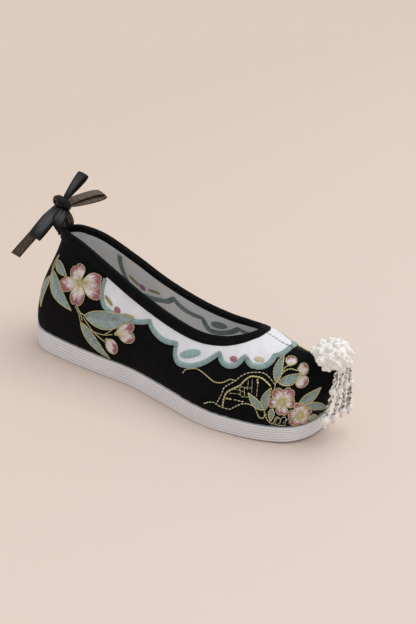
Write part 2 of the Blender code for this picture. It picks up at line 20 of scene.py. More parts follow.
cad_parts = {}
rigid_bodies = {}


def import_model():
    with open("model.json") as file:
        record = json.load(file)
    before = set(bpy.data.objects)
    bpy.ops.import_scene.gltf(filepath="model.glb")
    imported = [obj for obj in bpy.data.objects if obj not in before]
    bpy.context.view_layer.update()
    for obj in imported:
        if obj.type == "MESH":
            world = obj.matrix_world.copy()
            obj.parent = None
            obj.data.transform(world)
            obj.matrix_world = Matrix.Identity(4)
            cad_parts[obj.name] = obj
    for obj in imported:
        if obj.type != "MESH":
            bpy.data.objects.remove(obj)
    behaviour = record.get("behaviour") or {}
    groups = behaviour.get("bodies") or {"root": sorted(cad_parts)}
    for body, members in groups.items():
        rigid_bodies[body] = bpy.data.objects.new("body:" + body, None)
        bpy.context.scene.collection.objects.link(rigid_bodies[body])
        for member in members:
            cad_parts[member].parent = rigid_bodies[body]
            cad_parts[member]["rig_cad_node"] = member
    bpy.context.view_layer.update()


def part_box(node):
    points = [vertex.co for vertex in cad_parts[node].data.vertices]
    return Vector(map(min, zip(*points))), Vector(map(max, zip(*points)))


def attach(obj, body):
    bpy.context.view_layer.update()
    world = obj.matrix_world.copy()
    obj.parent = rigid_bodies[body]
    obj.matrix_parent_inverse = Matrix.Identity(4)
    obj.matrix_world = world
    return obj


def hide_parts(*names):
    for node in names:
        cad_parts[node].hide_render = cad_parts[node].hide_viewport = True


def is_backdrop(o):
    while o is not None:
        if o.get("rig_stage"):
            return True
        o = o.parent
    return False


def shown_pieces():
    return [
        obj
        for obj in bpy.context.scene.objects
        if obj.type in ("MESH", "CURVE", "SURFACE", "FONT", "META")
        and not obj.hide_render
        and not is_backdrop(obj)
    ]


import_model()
MM = 0.001
UP = np.array((0.0, 0.0, 1.0))
OUTER, INNER = -1, 1
SIDES = ((OUTER, "outer"), (INNER, "inner"))

# %% [markdown]
# ## Helpers for meshes and materials
# Blender makes a mesh from points and faces, and a material from nodes that feed each other. Both
# take many small steps in a script, so the steps that every piece repeats are gathered here. Points
# are given in millimetres, as a shoe is drawn, and a mesh is in metres.

# %% Meshes and pieces
def grid_faces(rows, columns, wrap=False, closed=False):
    """Quads between rows of points, where wrap makes each row a ring and closed joins the ends."""
    faces = []
    for row in range(rows if closed else rows - 1):
        here, ahead = row * columns, (row + 1) % rows * columns
        for column in range(columns if wrap else columns - 1):
            beside = (column + 1) % columns
            faces.append((here + column, here + beside, ahead + beside, ahead + column))
    return faces


def mesh_from(name, points, faces, cloth=None, merge=0.0, outwards=True):
    """A smooth mesh in metres from points in millimetres, with cloth's place on its pattern as UV."""
    mesh = bpy.data.meshes.new(name)
    mesh.from_pydata((np.asarray(points) * MM).tolist(), [], faces)
    if cloth is not None:
        layer = mesh.uv_layers.new(name="cloth")
        corners = [index for face in mesh.polygons for index in face.vertices]
        layer.data.foreach_set("uv", (np.asarray(cloth)[corners] * MM).ravel())
    form = bmesh.new()
    form.from_mesh(mesh)
    if merge:
        bmesh.ops.remove_doubles(form, verts=form.verts, dist=merge * MM)
    if outwards:
        bmesh.ops.recalc_face_normals(form, faces=form.faces)
    form.to_mesh(mesh)
    form.free()
    mesh.shade_smooth()
    return mesh


def mark_points(mesh, **layers):
    """Keeps a number for each point of a mesh under a name, for nodes to read."""
    for name, values in layers.items():
        layer = mesh.attributes.new(name, "FLOAT", "POINT")
        layer.data.foreach_set("value", np.asarray(values, float))
    return mesh


def add_piece(mesh, *materials):
    """An object with the mesh's name and materials."""
    piece = bpy.data.objects.new(mesh.name, mesh)
    bpy.context.scene.collection.objects.link(piece)
    for material in materials:
        mesh.materials.append(material)
    return piece


def finish_modifiers(piece):
    """Makes what the modifiers give the piece's own plain mesh."""
    graph = bpy.context.evaluated_depsgraph_get()
    mesh = bpy.data.meshes.new_from_object(piece.evaluated_get(graph))
    piece.modifiers.clear()
    piece.data = mesh
    return piece


def thicken(piece, thickness, offset=-1.0):
    """Gives an open sheet its thickness in millimetres, behind its face unless offset says otherwise."""
    modifier = piece.modifiers.new("thickness", "SOLIDIFY")
    modifier.thickness = thickness * MM
    modifier.offset = offset
    return finish_modifiers(piece)


def dress(piece, slot, *nodes):
    """Rides a piece on the shoe and hides the solids that it stands for."""
    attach(piece, "root")
    if nodes:
        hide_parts(*nodes)
    faces = sum(len(face.vertices) - 2 for face in piece.data.polygons)
    print(piece.name, "triangles", faces, "for", list(nodes))
    return piece


print("quads in a net of 3 by 4 points", len(grid_faces(3, 4)))


# %% Nodes and materials
def feed(tree, socket, value):
    """Gives a node's input a plain value, or links it to another node's socket."""
    if isinstance(value, bpy.types.NodeSocket):
        tree.links.new(value, socket)
    else:
        socket.default_value = (*value, 1.0) if socket.type == "RGBA" else value


def put(tree, kind, settings=None, **inputs):
    """A new node with its settings, and with inputs fed by their names."""
    node = tree.nodes.new(kind)
    for name, value in (settings or {}).items():
        setattr(node, name, value)
    for label, value in inputs.items():
        feed(tree, node.inputs[label.replace("_", " ")], value)
    return node


def maths(tree, operation, *values):
    """A Math node: its inputs are sockets or numbers."""
    node = put(tree, "ShaderNodeMath", {"operation": operation})
    for socket, value in zip(node.inputs, values):
        feed(tree, socket, value)
    return node.outputs[0]


def spread(tree, value, low, high):
    """How far a value is on the way from low to high, between 0 and 1."""
    return put(tree, "ShaderNodeMapRange", Value=value, From_Min=low, From_Max=high).outputs["Result"]


def mix_colours(tree, share, first, second):
    """A colour between two, which are sockets or plain colours."""
    node = put(tree, "ShaderNodeMix", {"data_type": "RGBA"}, Factor=share)
    colours = [socket for socket in node.inputs if socket.type == "RGBA"]
    for socket, value in zip(colours, (first, second)):
        feed(tree, socket, value)
    return next(socket for socket in node.outputs if socket.type == "RGBA")


def object_place(tree):
    return put(tree, "ShaderNodeTexCoord").outputs["Object"]


def new_material(name, roughness, **constants):
    """A material and its Principled shader, with its constant values on the shader's own sockets."""
    material = bpy.data.materials.new(name)
    material.use_nodes = True
    shader = material.node_tree.nodes["Principled BSDF"]
    for label, value in {"Roughness": roughness, **constants}.items():
        shader.inputs[label.replace("_", " ")].default_value = value
    return material, material.node_tree, shader


def paint(tree, shader, colour):
    """Feeds a colour to the shader."""
    feed(tree, shader.inputs["Base Color"], colour)


print("materials so far", len(bpy.data.materials))

# %% [markdown]
# ## Camera, floor and light
# The camera stands where the photographer stood: to the front of the outer side, looking down. A
# lens given in pixels turns into millimetres through the long side of the picture. The floor is
# one sheet of warm paper, with painted light in its colour: darker at the heel end and paler
# towards the toe, as the light falls. A wide lamp stands above and behind, so that tops are
# bright, sides are in shade and a soft shadow falls in front of the heel. An even sky fills the
# rest, as white walls do in a studio.

# %% Camera
PHOTO_LONG_SIDE_PX = 624
FOCAL_PX = 1000.0
SENSOR_MM = 36.0
CAMERA_AZIMUTH = math.radians(37.57)
CAMERA_ELEVATION = math.radians(27.0)
CAMERA_DISTANCE = 0.8228
CAMERA_TARGET = Vector((-0.0474, 0.0951, 0.0))


def stand(name, data, place, back):
    """A camera or a lamp at a place, which looks away from back."""
    thing = bpy.data.objects.new(name, data)
    thing.location = place
    thing.rotation_mode = "QUATERNION"
    thing.rotation_quaternion = (-back).to_track_quat("-Z", "Y")
    bpy.context.scene.collection.objects.link(thing)
    return thing


def add_camera():
    level = math.cos(CAMERA_ELEVATION)
    back = Vector((
        math.sin(CAMERA_AZIMUTH) * level,
        -math.cos(CAMERA_AZIMUTH) * level,
        math.sin(CAMERA_ELEVATION),
    ))
    data = bpy.data.cameras.new("photo_camera")
    data.sensor_width = SENSOR_MM
    data.lens = FOCAL_PX / PHOTO_LONG_SIDE_PX * SENSOR_MM
    place = CAMERA_TARGET + back * CAMERA_DISTANCE
    bpy.context.scene.camera = stand("photo_camera", data, place, back)
    print("camera lens in mm", round(data.lens, 1))


add_camera()


# %% Floor and light
FLOOR_SIZE = 14.0
# painted light: the floor is darker at the heel end and paler at the toe end, as if more light fell
# towards the toe
FLOOR_SHADED_HEEL = (0.74, 0.61, 0.52)
FLOOR_LIT_TOE = (0.82, 0.70, 0.63)
FLOOR_FROM_X, FLOOR_TO_X = -0.5, 0.4
SKY_COLOUR = (0.985, 0.99, 1.0)
SKY_STRENGTH = 0.56
LAMP_WIDTH = math.radians(50)
LAMP_FROM = Vector((0.3, 0.47, 1.2))
LAMP_POWER = 1.5
LAMP_COLOUR = (1.0, 0.985, 0.97)


def add_floor():
    material, tree, shader = new_material("floor_paper", 0.9, Specular_IOR_Level=0.1)
    split = put(tree, "ShaderNodeSeparateXYZ", Vector=object_place(tree))
    share = spread(tree, split.outputs["X"], FLOOR_FROM_X, FLOOR_TO_X)
    paint(tree, shader, mix_colours(tree, share, FLOOR_SHADED_HEEL, FLOOR_LIT_TOE))
    half = FLOOR_SIZE / 2 / MM
    corners = [(-half, -half, 0.0), (half, -half, 0.0), (half, half, 0.0), (-half, half, 0.0)]
    floor = add_piece(mesh_from("floor", corners, [(0, 1, 2, 3)], outwards=False), material)
    floor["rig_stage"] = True


def add_light():
    world = bpy.data.worlds.new("studio")
    world.use_nodes = True
    sky = world.node_tree.nodes["Background"]
    sky.inputs["Color"].default_value = (*SKY_COLOUR, 1.0)
    sky.inputs["Strength"].default_value = SKY_STRENGTH
    bpy.context.scene.world = world
    data = bpy.data.lights.new("softbox", "SUN")
    data.angle = LAMP_WIDTH
    data.energy = LAMP_POWER
    data.color = LAMP_COLOUR
    stand("softbox", data, LAMP_FROM, LAMP_FROM)
    bpy.context.scene.view_settings.view_transform = "Standard"
    print("lamp power", data.energy, "sky", SKY_STRENGTH)


add_floor()
add_light()

# %% [markdown]
# ## The shape of the last
# A shoe takes its shape from a last. Here the last is a table of sections from the heel to the
# toe, the same that the solids were made from, and smooth curves run through the rows. A mesh of
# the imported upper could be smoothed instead, but a formula gives any fineness and also tells how
# far along and how far up the cloth each place lies, which the embroidery needs.

# %% Tables of the last
SOLE_LEDGE = 1.0
HEEL_BACK_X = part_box("outsole")[0].x / MM + SOLE_LEDGE
LAST_LENGTH = 252.0
BALL_WIDTH = 77.0
COLLAR_WIDTH = 34.4
HEEL_HEIGHT = 90.0
TOE_SWING = 2.5
SWING_START_X = 30.0
WALL = 2.0
GAP = 0.35

# along, top_along: share of LAST_LENGTH, at the sole's edge and at the collar or crest
# outer, inner: share of BALL_WIDTH from the centre line to the sole's edge
# top_half: share of COLLAR_WIDTH from the centre line to the collar, 0 where the vamp closes
# top_height: share of HEEL_HEIGHT above the floor
# rise: share of the wall's height that stands upright above the sole, leaning out by flare
# reach, fall: how far the wall runs out and down from its top edge
Section = namedtuple(
    "Section", "name along outer inner top_along top_half top_height rise flare reach fall"
)
SECTIONS = (
    Section("heel_back", 0.000, 0.000, 0.000, 0.077, 0.000, 1.000, 0.45, 2.0, 3.5, 22.0),
    Section("heel_turn", 0.016, 0.253, 0.247, 0.088, 0.155, 1.005, 0.45, 2.0, 3.5, 22.0),
    Section("heel_side", 0.071, 0.396, 0.385, 0.123, 0.270, 1.005, 0.44, 1.8, 3.5, 22.0),
    Section("heel_front", 0.183, 0.429, 0.409, 0.198, 0.358, 0.967, 0.43, 1.6, 3.5, 21.0),
    Section("quarter", 0.310, 0.419, 0.383, 0.310, 0.413, 0.850, 0.43, 1.5, 3.5, 19.0),
    Section("waist", 0.429, 0.406, 0.357, 0.421, 0.442, 0.728, 0.43, 1.5, 4.0, 17.0),
    Section("instep", 0.556, 0.455, 0.390, 0.540, 0.480, 0.636, 0.43, 1.5, 6.0, 14.0),
    Section("ball_back", 0.659, 0.506, 0.455, 0.635, 0.500, 0.602, 0.42, 1.5, 8.0, 11.0),
    Section("ball", 0.738, 0.516, 0.487, 0.708, 0.442, 0.617, 0.42, 1.5, 11.0, 9.0),
    Section("throat_side", 0.794, 0.491, 0.484, 0.756, 0.291, 0.651, 0.42, 1.5, 14.0, 7.0),
    Section("throat_turn", 0.825, 0.470, 0.468, 0.779, 0.145, 0.673, 0.42, 1.4, 16.0, 5.0),
    Section("throat", 0.849, 0.452, 0.450, 0.787, 0.000, 0.684, 0.42, 1.4, 17.0, 4.0),
    Section("vamp", 0.897, 0.400, 0.396, 0.857, 0.000, 0.629, 0.43, 1.4, 15.0, 2.0),
    Section("toe_side", 0.940, 0.325, 0.319, 0.913, 0.000, 0.618, 0.44, 2.0, 12.0, 1.5),
    Section("toe_turn", 0.970, 0.190, 0.186, 0.960, 0.000, 0.637, 0.45, 5.0, 12.0, 2.0),
    Section("toe_tip", 0.979, 0.000, 0.000, 0.988, 0.000, 0.656, 0.46, 9.0, 13.0, 3.0),
)
LAST_ROW = len(SECTIONS) - 1
THROAT_ROW = [row.name for row in SECTIONS].index("throat")

# The sole seen from the side: height of its underside and of its top at shares of its length
SoleLine = namedtuple("SoleLine", "along under top")
SOLE_LINE = (
    SoleLine(0.00, 0.0, 17.0),
    SoleLine(0.14, 0.0, 16.0),
    SoleLine(0.30, 0.0, 14.6),
    SoleLine(0.55, 0.0, 13.8),
    SoleLine(0.72, 0.0, 12.2),
    SoleLine(0.86, 0.5, 11.6),
    SoleLine(0.95, 1.6, 12.2),
    SoleLine(1.00, 3.0, 13.2),
)
print("length of the last in mm", LAST_LENGTH, "sections", len(SECTIONS))


# %% Curves through the tables
def catmull_rom(before, start, end, after, share):
    """A point between start and end on the smooth curve through all four."""
    return 0.5 * (
        2 * start
        + (end - before) * share
        + (2 * before - 5 * start + 4 * end - after) * share**2
        + (3 * start - before - 3 * end + after) * share**3
    )


def curve_at(rows, position):
    """The smooth curve through rows, which has one extra row at each end, at a row position."""
    index = min(int(position), len(rows) - 4)
    return catmull_rom(*rows[index : index + 4], position - index)


def smooth_path(points, steps):
    """Points on the smooth curve through the given ones, with steps of them for each span."""
    given = np.array(points, float)
    rows = np.vstack((2 * given[0] - given[1], given, 2 * given[-1] - given[-2]))
    spans = len(given) - 1
    return np.array([curve_at(rows, step / steps) for step in range(spans * steps + 1)])


def unit(vector):
    return np.asarray(vector, float) / np.linalg.norm(vector)


def lengths_along(points):
    """The distance from the first point to each, along the line through them all."""
    steps = np.linalg.norm(np.diff(points, axis=0), axis=1)
    return np.concatenate(([0.0], np.cumsum(steps)))


def at_lengths(rows, lengths, stops):
    """Rows of vectors read between their neighbours at the given lengths."""
    return np.stack([np.interp(stops, lengths, column) for column in np.transpose(rows)], axis=1)


def even_path(points, spacing):
    """Points at even distances along a line, its two ends among them."""
    lengths = lengths_along(points)
    count = max(2, round(lengths[-1] / spacing) + 1)
    return at_lengths(points, lengths, np.linspace(0.0, lengths[-1], count))


def swing(x):
    """How far the toe bends towards the inner side at x."""
    reach = HEEL_BACK_X + LAST_LENGTH - SWING_START_X
    return TOE_SWING * max(0.0, (x - SWING_START_X) / reach) ** 2


def sole_height(x, edge):
    """Height of the sole's underside or top at x."""
    shares = [row.along for row in SOLE_LINE]
    heights = [getattr(row, edge) for row in SOLE_LINE]
    return float(np.interp((x - HEEL_BACK_X) / LAST_LENGTH, shares, heights))


def sole_rows(side):
    """The sole's edge on one side, with a row of the other side that follows at each end."""

    def edge(row, which):
        half = row.outer if which == OUTER else row.inner
        return np.array((HEEL_BACK_X + row.along * LAST_LENGTH, which * half * BALL_WIDTH))

    rows = [edge(row, side) for row in SECTIONS]
    return [edge(SECTIONS[1], -side), *rows, edge(SECTIONS[-2], -side)]


def top_rows(side):
    """The collar's rows and the crest's rows on one side, each with an extra row at its ends."""
    mirror = np.array((1.0, -1.0, 1.0))
    top = []
    for row in SECTIONS:
        x = HEEL_BACK_X + row.top_along * LAST_LENGTH
        top.append(np.array((x, side * row.top_half * COLLAR_WIDTH, row.top_height * HEEL_HEIGHT)))
    collar, crest = top[: THROAT_ROW + 1], top[THROAT_ROW:]
    collar = [collar[1] * mirror, *collar, collar[-2] * mirror]
    crest = [2 * crest[0] - crest[1], *crest, crest[-2]]
    return collar, crest


def each_side(make):
    """What make gives for the outer and for the inner side."""
    return {side: make(side) for side, _ in SIDES}


SHAPE_ROWS = [
    np.array((row.rise, row.flare, row.reach, row.fall))
    for row in (SECTIONS[1], *SECTIONS, SECTIONS[-2])
]
SOLE_ROWS = each_side(sole_rows)
TOP_ROWS = each_side(top_rows)


def sole_edge(side, position):
    """The sole's edge in plan, and the level direction straight out of it."""
    rows = SOLE_ROWS[side]
    if position in (0, LAST_ROW):
        return curve_at(rows, position), np.array((-1.0 if position == 0 else 1.0, 0.0))
    step = 0.01
    tangent = unit(curve_at(rows, position + step) - curve_at(rows, position - step))
    return curve_at(rows, position), side * np.array((-tangent[1], tangent[0]))


def wall_points(side, position, ups):
    """The upper's outer face at one station: ups run from 0 at the sole to 1 at the collar or crest."""
    edge, outward = sole_edge(side, position)
    rise, flare, reach, fall = curve_at(SHAPE_ROWS, position)
    out = np.array((*outward, 0.0))
    foot = np.array((*edge, sole_height(edge[0], "top") + GAP))
    collar, crest = TOP_ROWS[side]
    before_throat = position <= THROAT_ROW
    top = curve_at(collar, position) if before_throat else curve_at(crest, position - THROAT_ROW)
    low_handle = foot + UP * rise * (top[2] - foot[2]) + out * flare
    high_handle = top + out * reach - UP * fall
    up = np.asarray(ups, float)[:, None]
    rest = 1 - up
    points = (
        foot * rest**3
        + low_handle * 3 * up * rest**2
        + high_handle * 3 * up**2 * rest
        + top * up**3
    )
    points[:, 1] += [swing(x) for x in points[:, 0]]
    return points


print("collar above the heel in mm", round(wall_points(OUTER, 0, (1.0,))[0][2], 1))

# %% [markdown]
# ## Shared finishes
# Cloth here is plain weave, so a small group of nodes draws the over and under of its threads from
# the piece's own cloth map. A second group gives slow, cloudy change, for wear and for dye that
# didn't take evenly. Painted pictures would blur from close by, and a pattern in space would slide
# off a curved wall. Both groups give plain numbers, and each material turns them into colour and
# relief of its own.

# %% Node groups for weave and mottle
def new_tree(family, name, inputs, output, output_kind):
    """A tree of nodes with named inputs, each with its kind, and with one output."""
    tree = bpy.data.node_groups.new(name, f"{family}NodeTree")
    for label, kind in inputs.items():
        tree.interface.new_socket(label, in_out="INPUT", socket_type=f"NodeSocket{kind}")
    tree.interface.new_socket(output, in_out="OUTPUT", socket_type=f"NodeSocket{output_kind}")
    start, end = tree.nodes.new("NodeGroupInput"), tree.nodes.new("NodeGroupOutput")
    return tree, start.outputs, end.inputs[0]


def weave_group():
    """Plain weave: the two threads take turns on top, in a checker of rounded backs."""
    inputs = {"Cloth": "Vector", "Threads": "Float"}
    group, start, end = new_tree("Shader", "plain_weave", inputs, "Height", "Float")
    split = put(group, "ShaderNodeSeparateXYZ", Vector=start["Cloth"])
    waves = []
    for axis in (0, 1):
        turn = maths(group, "MULTIPLY", split.outputs[axis], start["Threads"])
        waves.append(maths(group, "SINE", maths(group, "MULTIPLY", turn, math.pi)))
    feed(group, end, maths(group, "MULTIPLY_ADD", maths(group, "MULTIPLY", *waves), 0.5, 0.5))
    return group


def mottle_group():
    """Slow cloudy change between 0 and 1."""
    inputs = {"Place": "Vector", "Size": "Float", "Detail": "Float"}
    group, start, end = new_tree("Shader", "mottle", inputs, "Cloud", "Float")
    noise = put(
        group, "ShaderNodeTexNoise", Vector=start["Place"], Scale=start["Size"], Detail=start["Detail"]
    )
    feed(group, end, spread(group, noise.outputs["Fac"], 0.3, 0.7))
    return group


WEAVE = weave_group()
MOTTLE = mottle_group()
print("node groups", WEAVE.name, MOTTLE.name)


# %% Building blocks for cloth
def use_group(tree, group, place, **values):
    """Places a node group on a coordinate, with its own values."""
    node = put(tree, "ShaderNodeGroup", {"node_tree": group}, **values)
    feed(tree, node.inputs[0], place)
    return node.outputs[0]


def cloudy(tree, size, detail):
    return use_group(tree, MOTTLE, object_place(tree), Size=size, Detail=detail)


def cloth_place(tree):
    """The piece's own cloth map, in metres of cloth."""
    return put(tree, "ShaderNodeUVMap", {"uv_map": "cloth"}).outputs["UV"]


def attribute(tree, name, output="Fac"):
    return put(tree, "ShaderNodeAttribute", {"attribute_name": name}).outputs[output]


def streaks(tree, along, across, detail):
    """Noise drawn out on the cloth map, with how fine it is along and across the cloth."""
    place = put(tree, "ShaderNodeMapping", Vector=cloth_place(tree), Scale=(along, across, 1.0))
    noise = put(tree, "ShaderNodeTexNoise", Vector=place.outputs["Vector"], Scale=1.0, Detail=detail)
    return noise.outputs["Fac"]


def relief(tree, shader, height, depth, strength):
    """Feeds a height between 0 and 1 to the shader's normal, as relief of depth millimetres."""
    bump = put(tree, "ShaderNodeBump", Height=height, Strength=strength, Distance=depth * MM)
    feed(tree, shader.inputs["Normal"], bump.outputs["Normal"])


# clouds: size and detail of the slow change from one colour to the other
# weave: threads to a metre, and the depth and strength of their relief
# bias: the angle at which the cloth was cut
def cloth_finish(name, roughness, clouds, colours, weave=None, bias=0.0, **constants):
    """Woven cloth that changes slowly between two colours."""
    material, tree, shader = new_material(name, roughness, **constants)
    paint(tree, shader, mix_colours(tree, cloudy(tree, *clouds), *colours))
    if weave:
        threads, depth, strength = weave
        place = cloth_place(tree)
        if bias:
            place = put(tree, "ShaderNodeMapping", Vector=place, Rotation=(0.0, 0.0, bias)).outputs[0]
        relief(tree, shader, use_group(tree, WEAVE, place, Threads=threads), depth, strength)
    return material


LINING_COLOURS = ((0.93, 0.915, 0.90), (0.975, 0.965, 0.955))
LINING_WHITE = cloth_finish(
    "lining_white", 0.88, (38.0, 5.0), LINING_COLOURS, (1500.0, 0.2, 0.5),
    Specular_IOR_Level=0.2, Sheen_Weight=0.15, Sheen_Roughness=0.6,
)
print("first cloth", LINING_WHITE.name)

# %% [markdown]
# ## The layered sole
# The sole is six layers of white cloth, pasted and stitched, and their edges show as ribs round
# the side. A bump could fake the ribs, but they catch the light and break the outline, so each
# layer gets its own rounded edge in the mesh. How deep a point lies in a groove is kept as an
# attribute, which the material turns into a little dust and painted shade in the grooves and
# along the rounded top and bottom edges.

# %% Outsole and insole
SOLE_LAYERS = 6
GROOVE_DEPTH = 0.6
LAYER_POINTS = 6
LAYER_ROUND = 2.6
SOLE_STEPS = 9
LAYER_SEAM = 0.03
EDGE_ROUND = 0.8
# dust and painted shade: how far the rounded top and bottom edges of the sole are darkened
EDGE_DUST_AND_SHADE = 0.6
SHARP_FROM = math.radians(60)
INSOLE_THICK = 2.0
INSOLE_CLEARANCE = 0.8
INSOLE_CROWN = 0.5


def sole_loop(inset):
    """The sole's outline as one closed loop, out along the outer side and back on the inner."""
    positions = [step / SOLE_STEPS for step in range(LAST_ROW * SOLE_STEPS + 1)]
    stops = [(OUTER, position) for position in positions]
    stops += [(INNER, position) for position in reversed(positions[1:-1])]
    loop = []
    for side, position in stops:
        edge, outward = sole_edge(side, position)
        x, y = edge - outward * inset
        loop.append((x, y + swing(edge[0])))
    return loop


def cap_faces(first, stations):
    """Strips that close a loop of points which runs out along one side and back on the other."""
    count = 2 * (stations - 1)
    faces = []
    for near in range(stations - 1):
        corners = dict.fromkeys((near, near + 1, -(near + 1) % count, -near % count))
        faces.append(tuple(first + corner for corner in corners))
    return faces


def sole_solid(name, levels):
    """A closed solid of rings. A level is an inset, a height at x and how deep in a groove it lies."""
    points, cloth, grooves = [], [], []
    for inset, height, groove in levels:
        loop = sole_loop(inset)
        points += [(x, y, height(x)) for x, y in loop]
        around = lengths_along(np.array(loop))
        cloth += [(along, height(x)) for along, (x, _) in zip(around, loop)]
        grooves += [groove] * len(loop)
    stations = LAST_ROW * SOLE_STEPS + 1
    ring = 2 * (stations - 1)
    faces = grid_faces(len(levels), ring, wrap=True)
    faces += cap_faces(0, stations)
    faces += cap_faces((len(levels) - 1) * ring, stations)
    mesh = mesh_from(name, points, faces, cloth)
    mark_points(mesh, groove=grooves)
    mesh.set_sharp_from_angle(angle=SHARP_FROM)
    return mesh


def outsole_levels():
    """The stacked layers of the sole's side, each with a rounded edge."""

    def height(share):
        return lambda x: sole_height(x, "under") * (1 - share) + sole_height(x, "top") * share

    levels = [(EDGE_ROUND - SOLE_LEDGE, height(0.0), EDGE_DUST_AND_SHADE)]
    for layer in range(SOLE_LAYERS):
        for step in range(LAYER_POINTS + 1):
            across = step / LAYER_POINTS
            if layer > 0 and step == 0:
                continue
            share = (layer + LAYER_SEAM + (1 - 2 * LAYER_SEAM) * across) / SOLE_LAYERS
            groove = abs(2 * across - 1) ** LAYER_ROUND
            levels.append((GROOVE_DEPTH * groove - SOLE_LEDGE, height(share), groove))
    levels.append((EDGE_ROUND - SOLE_LEDGE, height(1.0), EDGE_DUST_AND_SHADE))
    return levels


def insole_levels():
    """The rounded rim of the pad and its low crown."""
    crown = INSOLE_CROWN / INSOLE_THICK
    rims = ((0.0, 0.0), (0.0, 0.7), (0.35, 0.93), (1.2, 1.0), (4.0, 1 + 0.5 * crown), (9.0, 1 + crown))

    def height(lift):
        return lambda x: sole_height(x, "top") + GAP + lift

    return [(WALL + INSOLE_CLEARANCE + step, height(INSOLE_THICK * share), 0.0) for step, share in rims]


print("rings of the outsole", len(outsole_levels()), "and of the insole", len(insole_levels()))

# %% Finish of the sole
SOLE_COLOUR = (0.93, 0.92, 0.935)
# dust and painted shade: the grey that the grooves and rounded edges are darkened towards
SOLE_DUST_AND_SHADE = (0.56, 0.55, 0.555)


def sole_finish():
    """White cloth with dust and painted shade in its grooves and on its rounded edges, and fibres along
    its edge.
    """
    material, tree, shader = new_material("sole_white", 0.8, Specular_IOR_Level=0.25)
    patchy_share = maths(tree, "MULTIPLY_ADD", cloudy(tree, 55.0, 6.0), 0.35, 0.45)
    dust_and_shade = maths(tree, "MULTIPLY", attribute(tree, "groove"), patchy_share)
    paint(tree, shader, mix_colours(tree, dust_and_shade, SOLE_COLOUR, SOLE_DUST_AND_SHADE))
    relief(tree, shader, streaks(tree, 700.0, 4200.0, 3.0), 0.25, 0.6)
    return material


sole = add_piece(sole_solid("sole_layers", outsole_levels()), sole_finish())
dress(sole, "sole_white", "outsole")
footbed = add_piece(sole_solid("footbed", insole_levels()), LINING_WHITE)
dress(footbed, "lining_white", "insole")

# %% [markdown]
# ## The cloth upper and its lining
# The upper is one wall of black cotton with a pale lining, pulled over the last and sewn to the
# sole. Simulated cloth would hang, and this cloth is held tight, so both are laid out as a fine
# net on the last. The creases are placed where the real one has them, each as a soft trough
# with a low ridge beside it, and small puckers run along the sole where the edge is gathered in.

# %% Creases in the cloth
# from_along, from_up, to_along, to_up: the ends of a crease, in mm along the sole and up the wall
Crease = namedtuple("Crease", "name sides from_along from_up to_along to_up width depth")
CREASES = (
    Crease("waist_fold", (INNER,), 118.0, 40.0, 146.0, 12.0, 7.0, 0.9),
    Crease("flex_low", (OUTER, INNER), 196.0, 4.0, 212.0, 17.0, 5.0, 0.55),
    Crease("ball_dip", (OUTER, INNER), 172.0, 2.0, 181.0, 13.0, 6.0, 0.7),
    Crease("heel_dent", (OUTER,), 18.0, 8.0, 30.0, 27.0, 8.0, 0.6),
    Crease("heel_dent_inner", (INNER,), 26.0, 30.0, 40.0, 10.0, 9.0, 0.7),
    Crease("toe_gather", (OUTER, INNER), 276.0, 1.0, 280.0, 12.0, 4.0, 0.5),
    Crease("crest_dip", (OUTER, INNER), 262.0, 50.0, 276.0, 40.0, 4.5, 0.45),
)
PUCKER_DEPTH = 0.22
PUCKER_REACH = 7.0
PUCKER_SPACING = 8.5
PUCKER_DRIFT, DRIFT_LENGTH = 1.3, 17.0
PUCKER_SWELL, SWELL_LENGTH = 0.4, 23.0
BOTTOM_TUCK = 0.7
TUCK_REACH = 1.6
CREASE_EVEN, CREASE_FADE = 0.3, 0.05
RIDGE_HEIGHT, RIDGE_AWAY = 0.55, 1.7


def crease_offset(side, along, up):
    """How far creases and puckers move the cloth out of the last, for arrays of places on it."""
    place = np.stack((along, up), axis=-1)
    offset = np.zeros(along.shape)
    for row in CREASES:
        if side not in row.sides:
            continue
        start = np.array((row.from_along, row.from_up))
        run = np.array((row.to_along, row.to_up)) - start
        share = ((place - start) @ run) / (run @ run)
        across = ((place - start) @ np.array((-run[1], run[0]))) / np.linalg.norm(run)
        ends = np.exp(-np.maximum(0.0, np.abs(share - 0.5) - CREASE_EVEN) ** 2 / CREASE_FADE)
        trough = np.exp(-((across / row.width) ** 2))
        ridge = np.exp(-(((across - RIDGE_AWAY * row.width) / row.width) ** 2))
        offset += row.depth * ends * (RIDGE_HEIGHT * ridge - trough)
    drift = PUCKER_DRIFT * np.sin(along / DRIFT_LENGTH)
    waves = np.sin(2 * math.pi * along / PUCKER_SPACING + drift)
    swell = 1 - PUCKER_SWELL + PUCKER_SWELL * np.sin(along / SWELL_LENGTH + side)
    offset += PUCKER_DEPTH * waves * swell * np.exp(-((up / PUCKER_REACH) ** 2))
    offset -= BOTTOM_TUCK * np.exp(-((up / TUCK_REACH) ** 2))
    return offset


print("creases", [row.name for row in CREASES])

# %% Net of the upper
STEPS_PER_SECTION = 10
WALL_STEPS = 44
STATIONS = np.linspace(0.0, LAST_ROW, LAST_ROW * STEPS_PER_SECTION + 1)
UPS = np.linspace(0.0, 1.0, WALL_STEPS + 1)


class Net:
    """The upper's outer face on one side as a net, with each knot's place on the flat cloth."""

    def __init__(self, side):
        self.points = np.array([wall_points(side, position, UPS) for position in STATIONS])
        self.along = lengths_along(self.points[:, 0])
        self.up = np.array([lengths_along(column) for column in self.points])
        self.cloth = np.stack((np.broadcast_to(self.along[:, None], self.up.shape), self.up), axis=-1)

    def at(self, along, up):
        """The place on the last at a distance along the sole and up the wall."""
        station = np.interp(along, self.along, np.arange(len(self.along)))
        low = min(int(station), len(self.along) - 2)
        here, ahead = (at_lengths(self.points[row], self.up[row], [up])[0] for row in (low, low + 1))
        return here + (ahead - here) * (station - low)


NETS = each_side(Net)


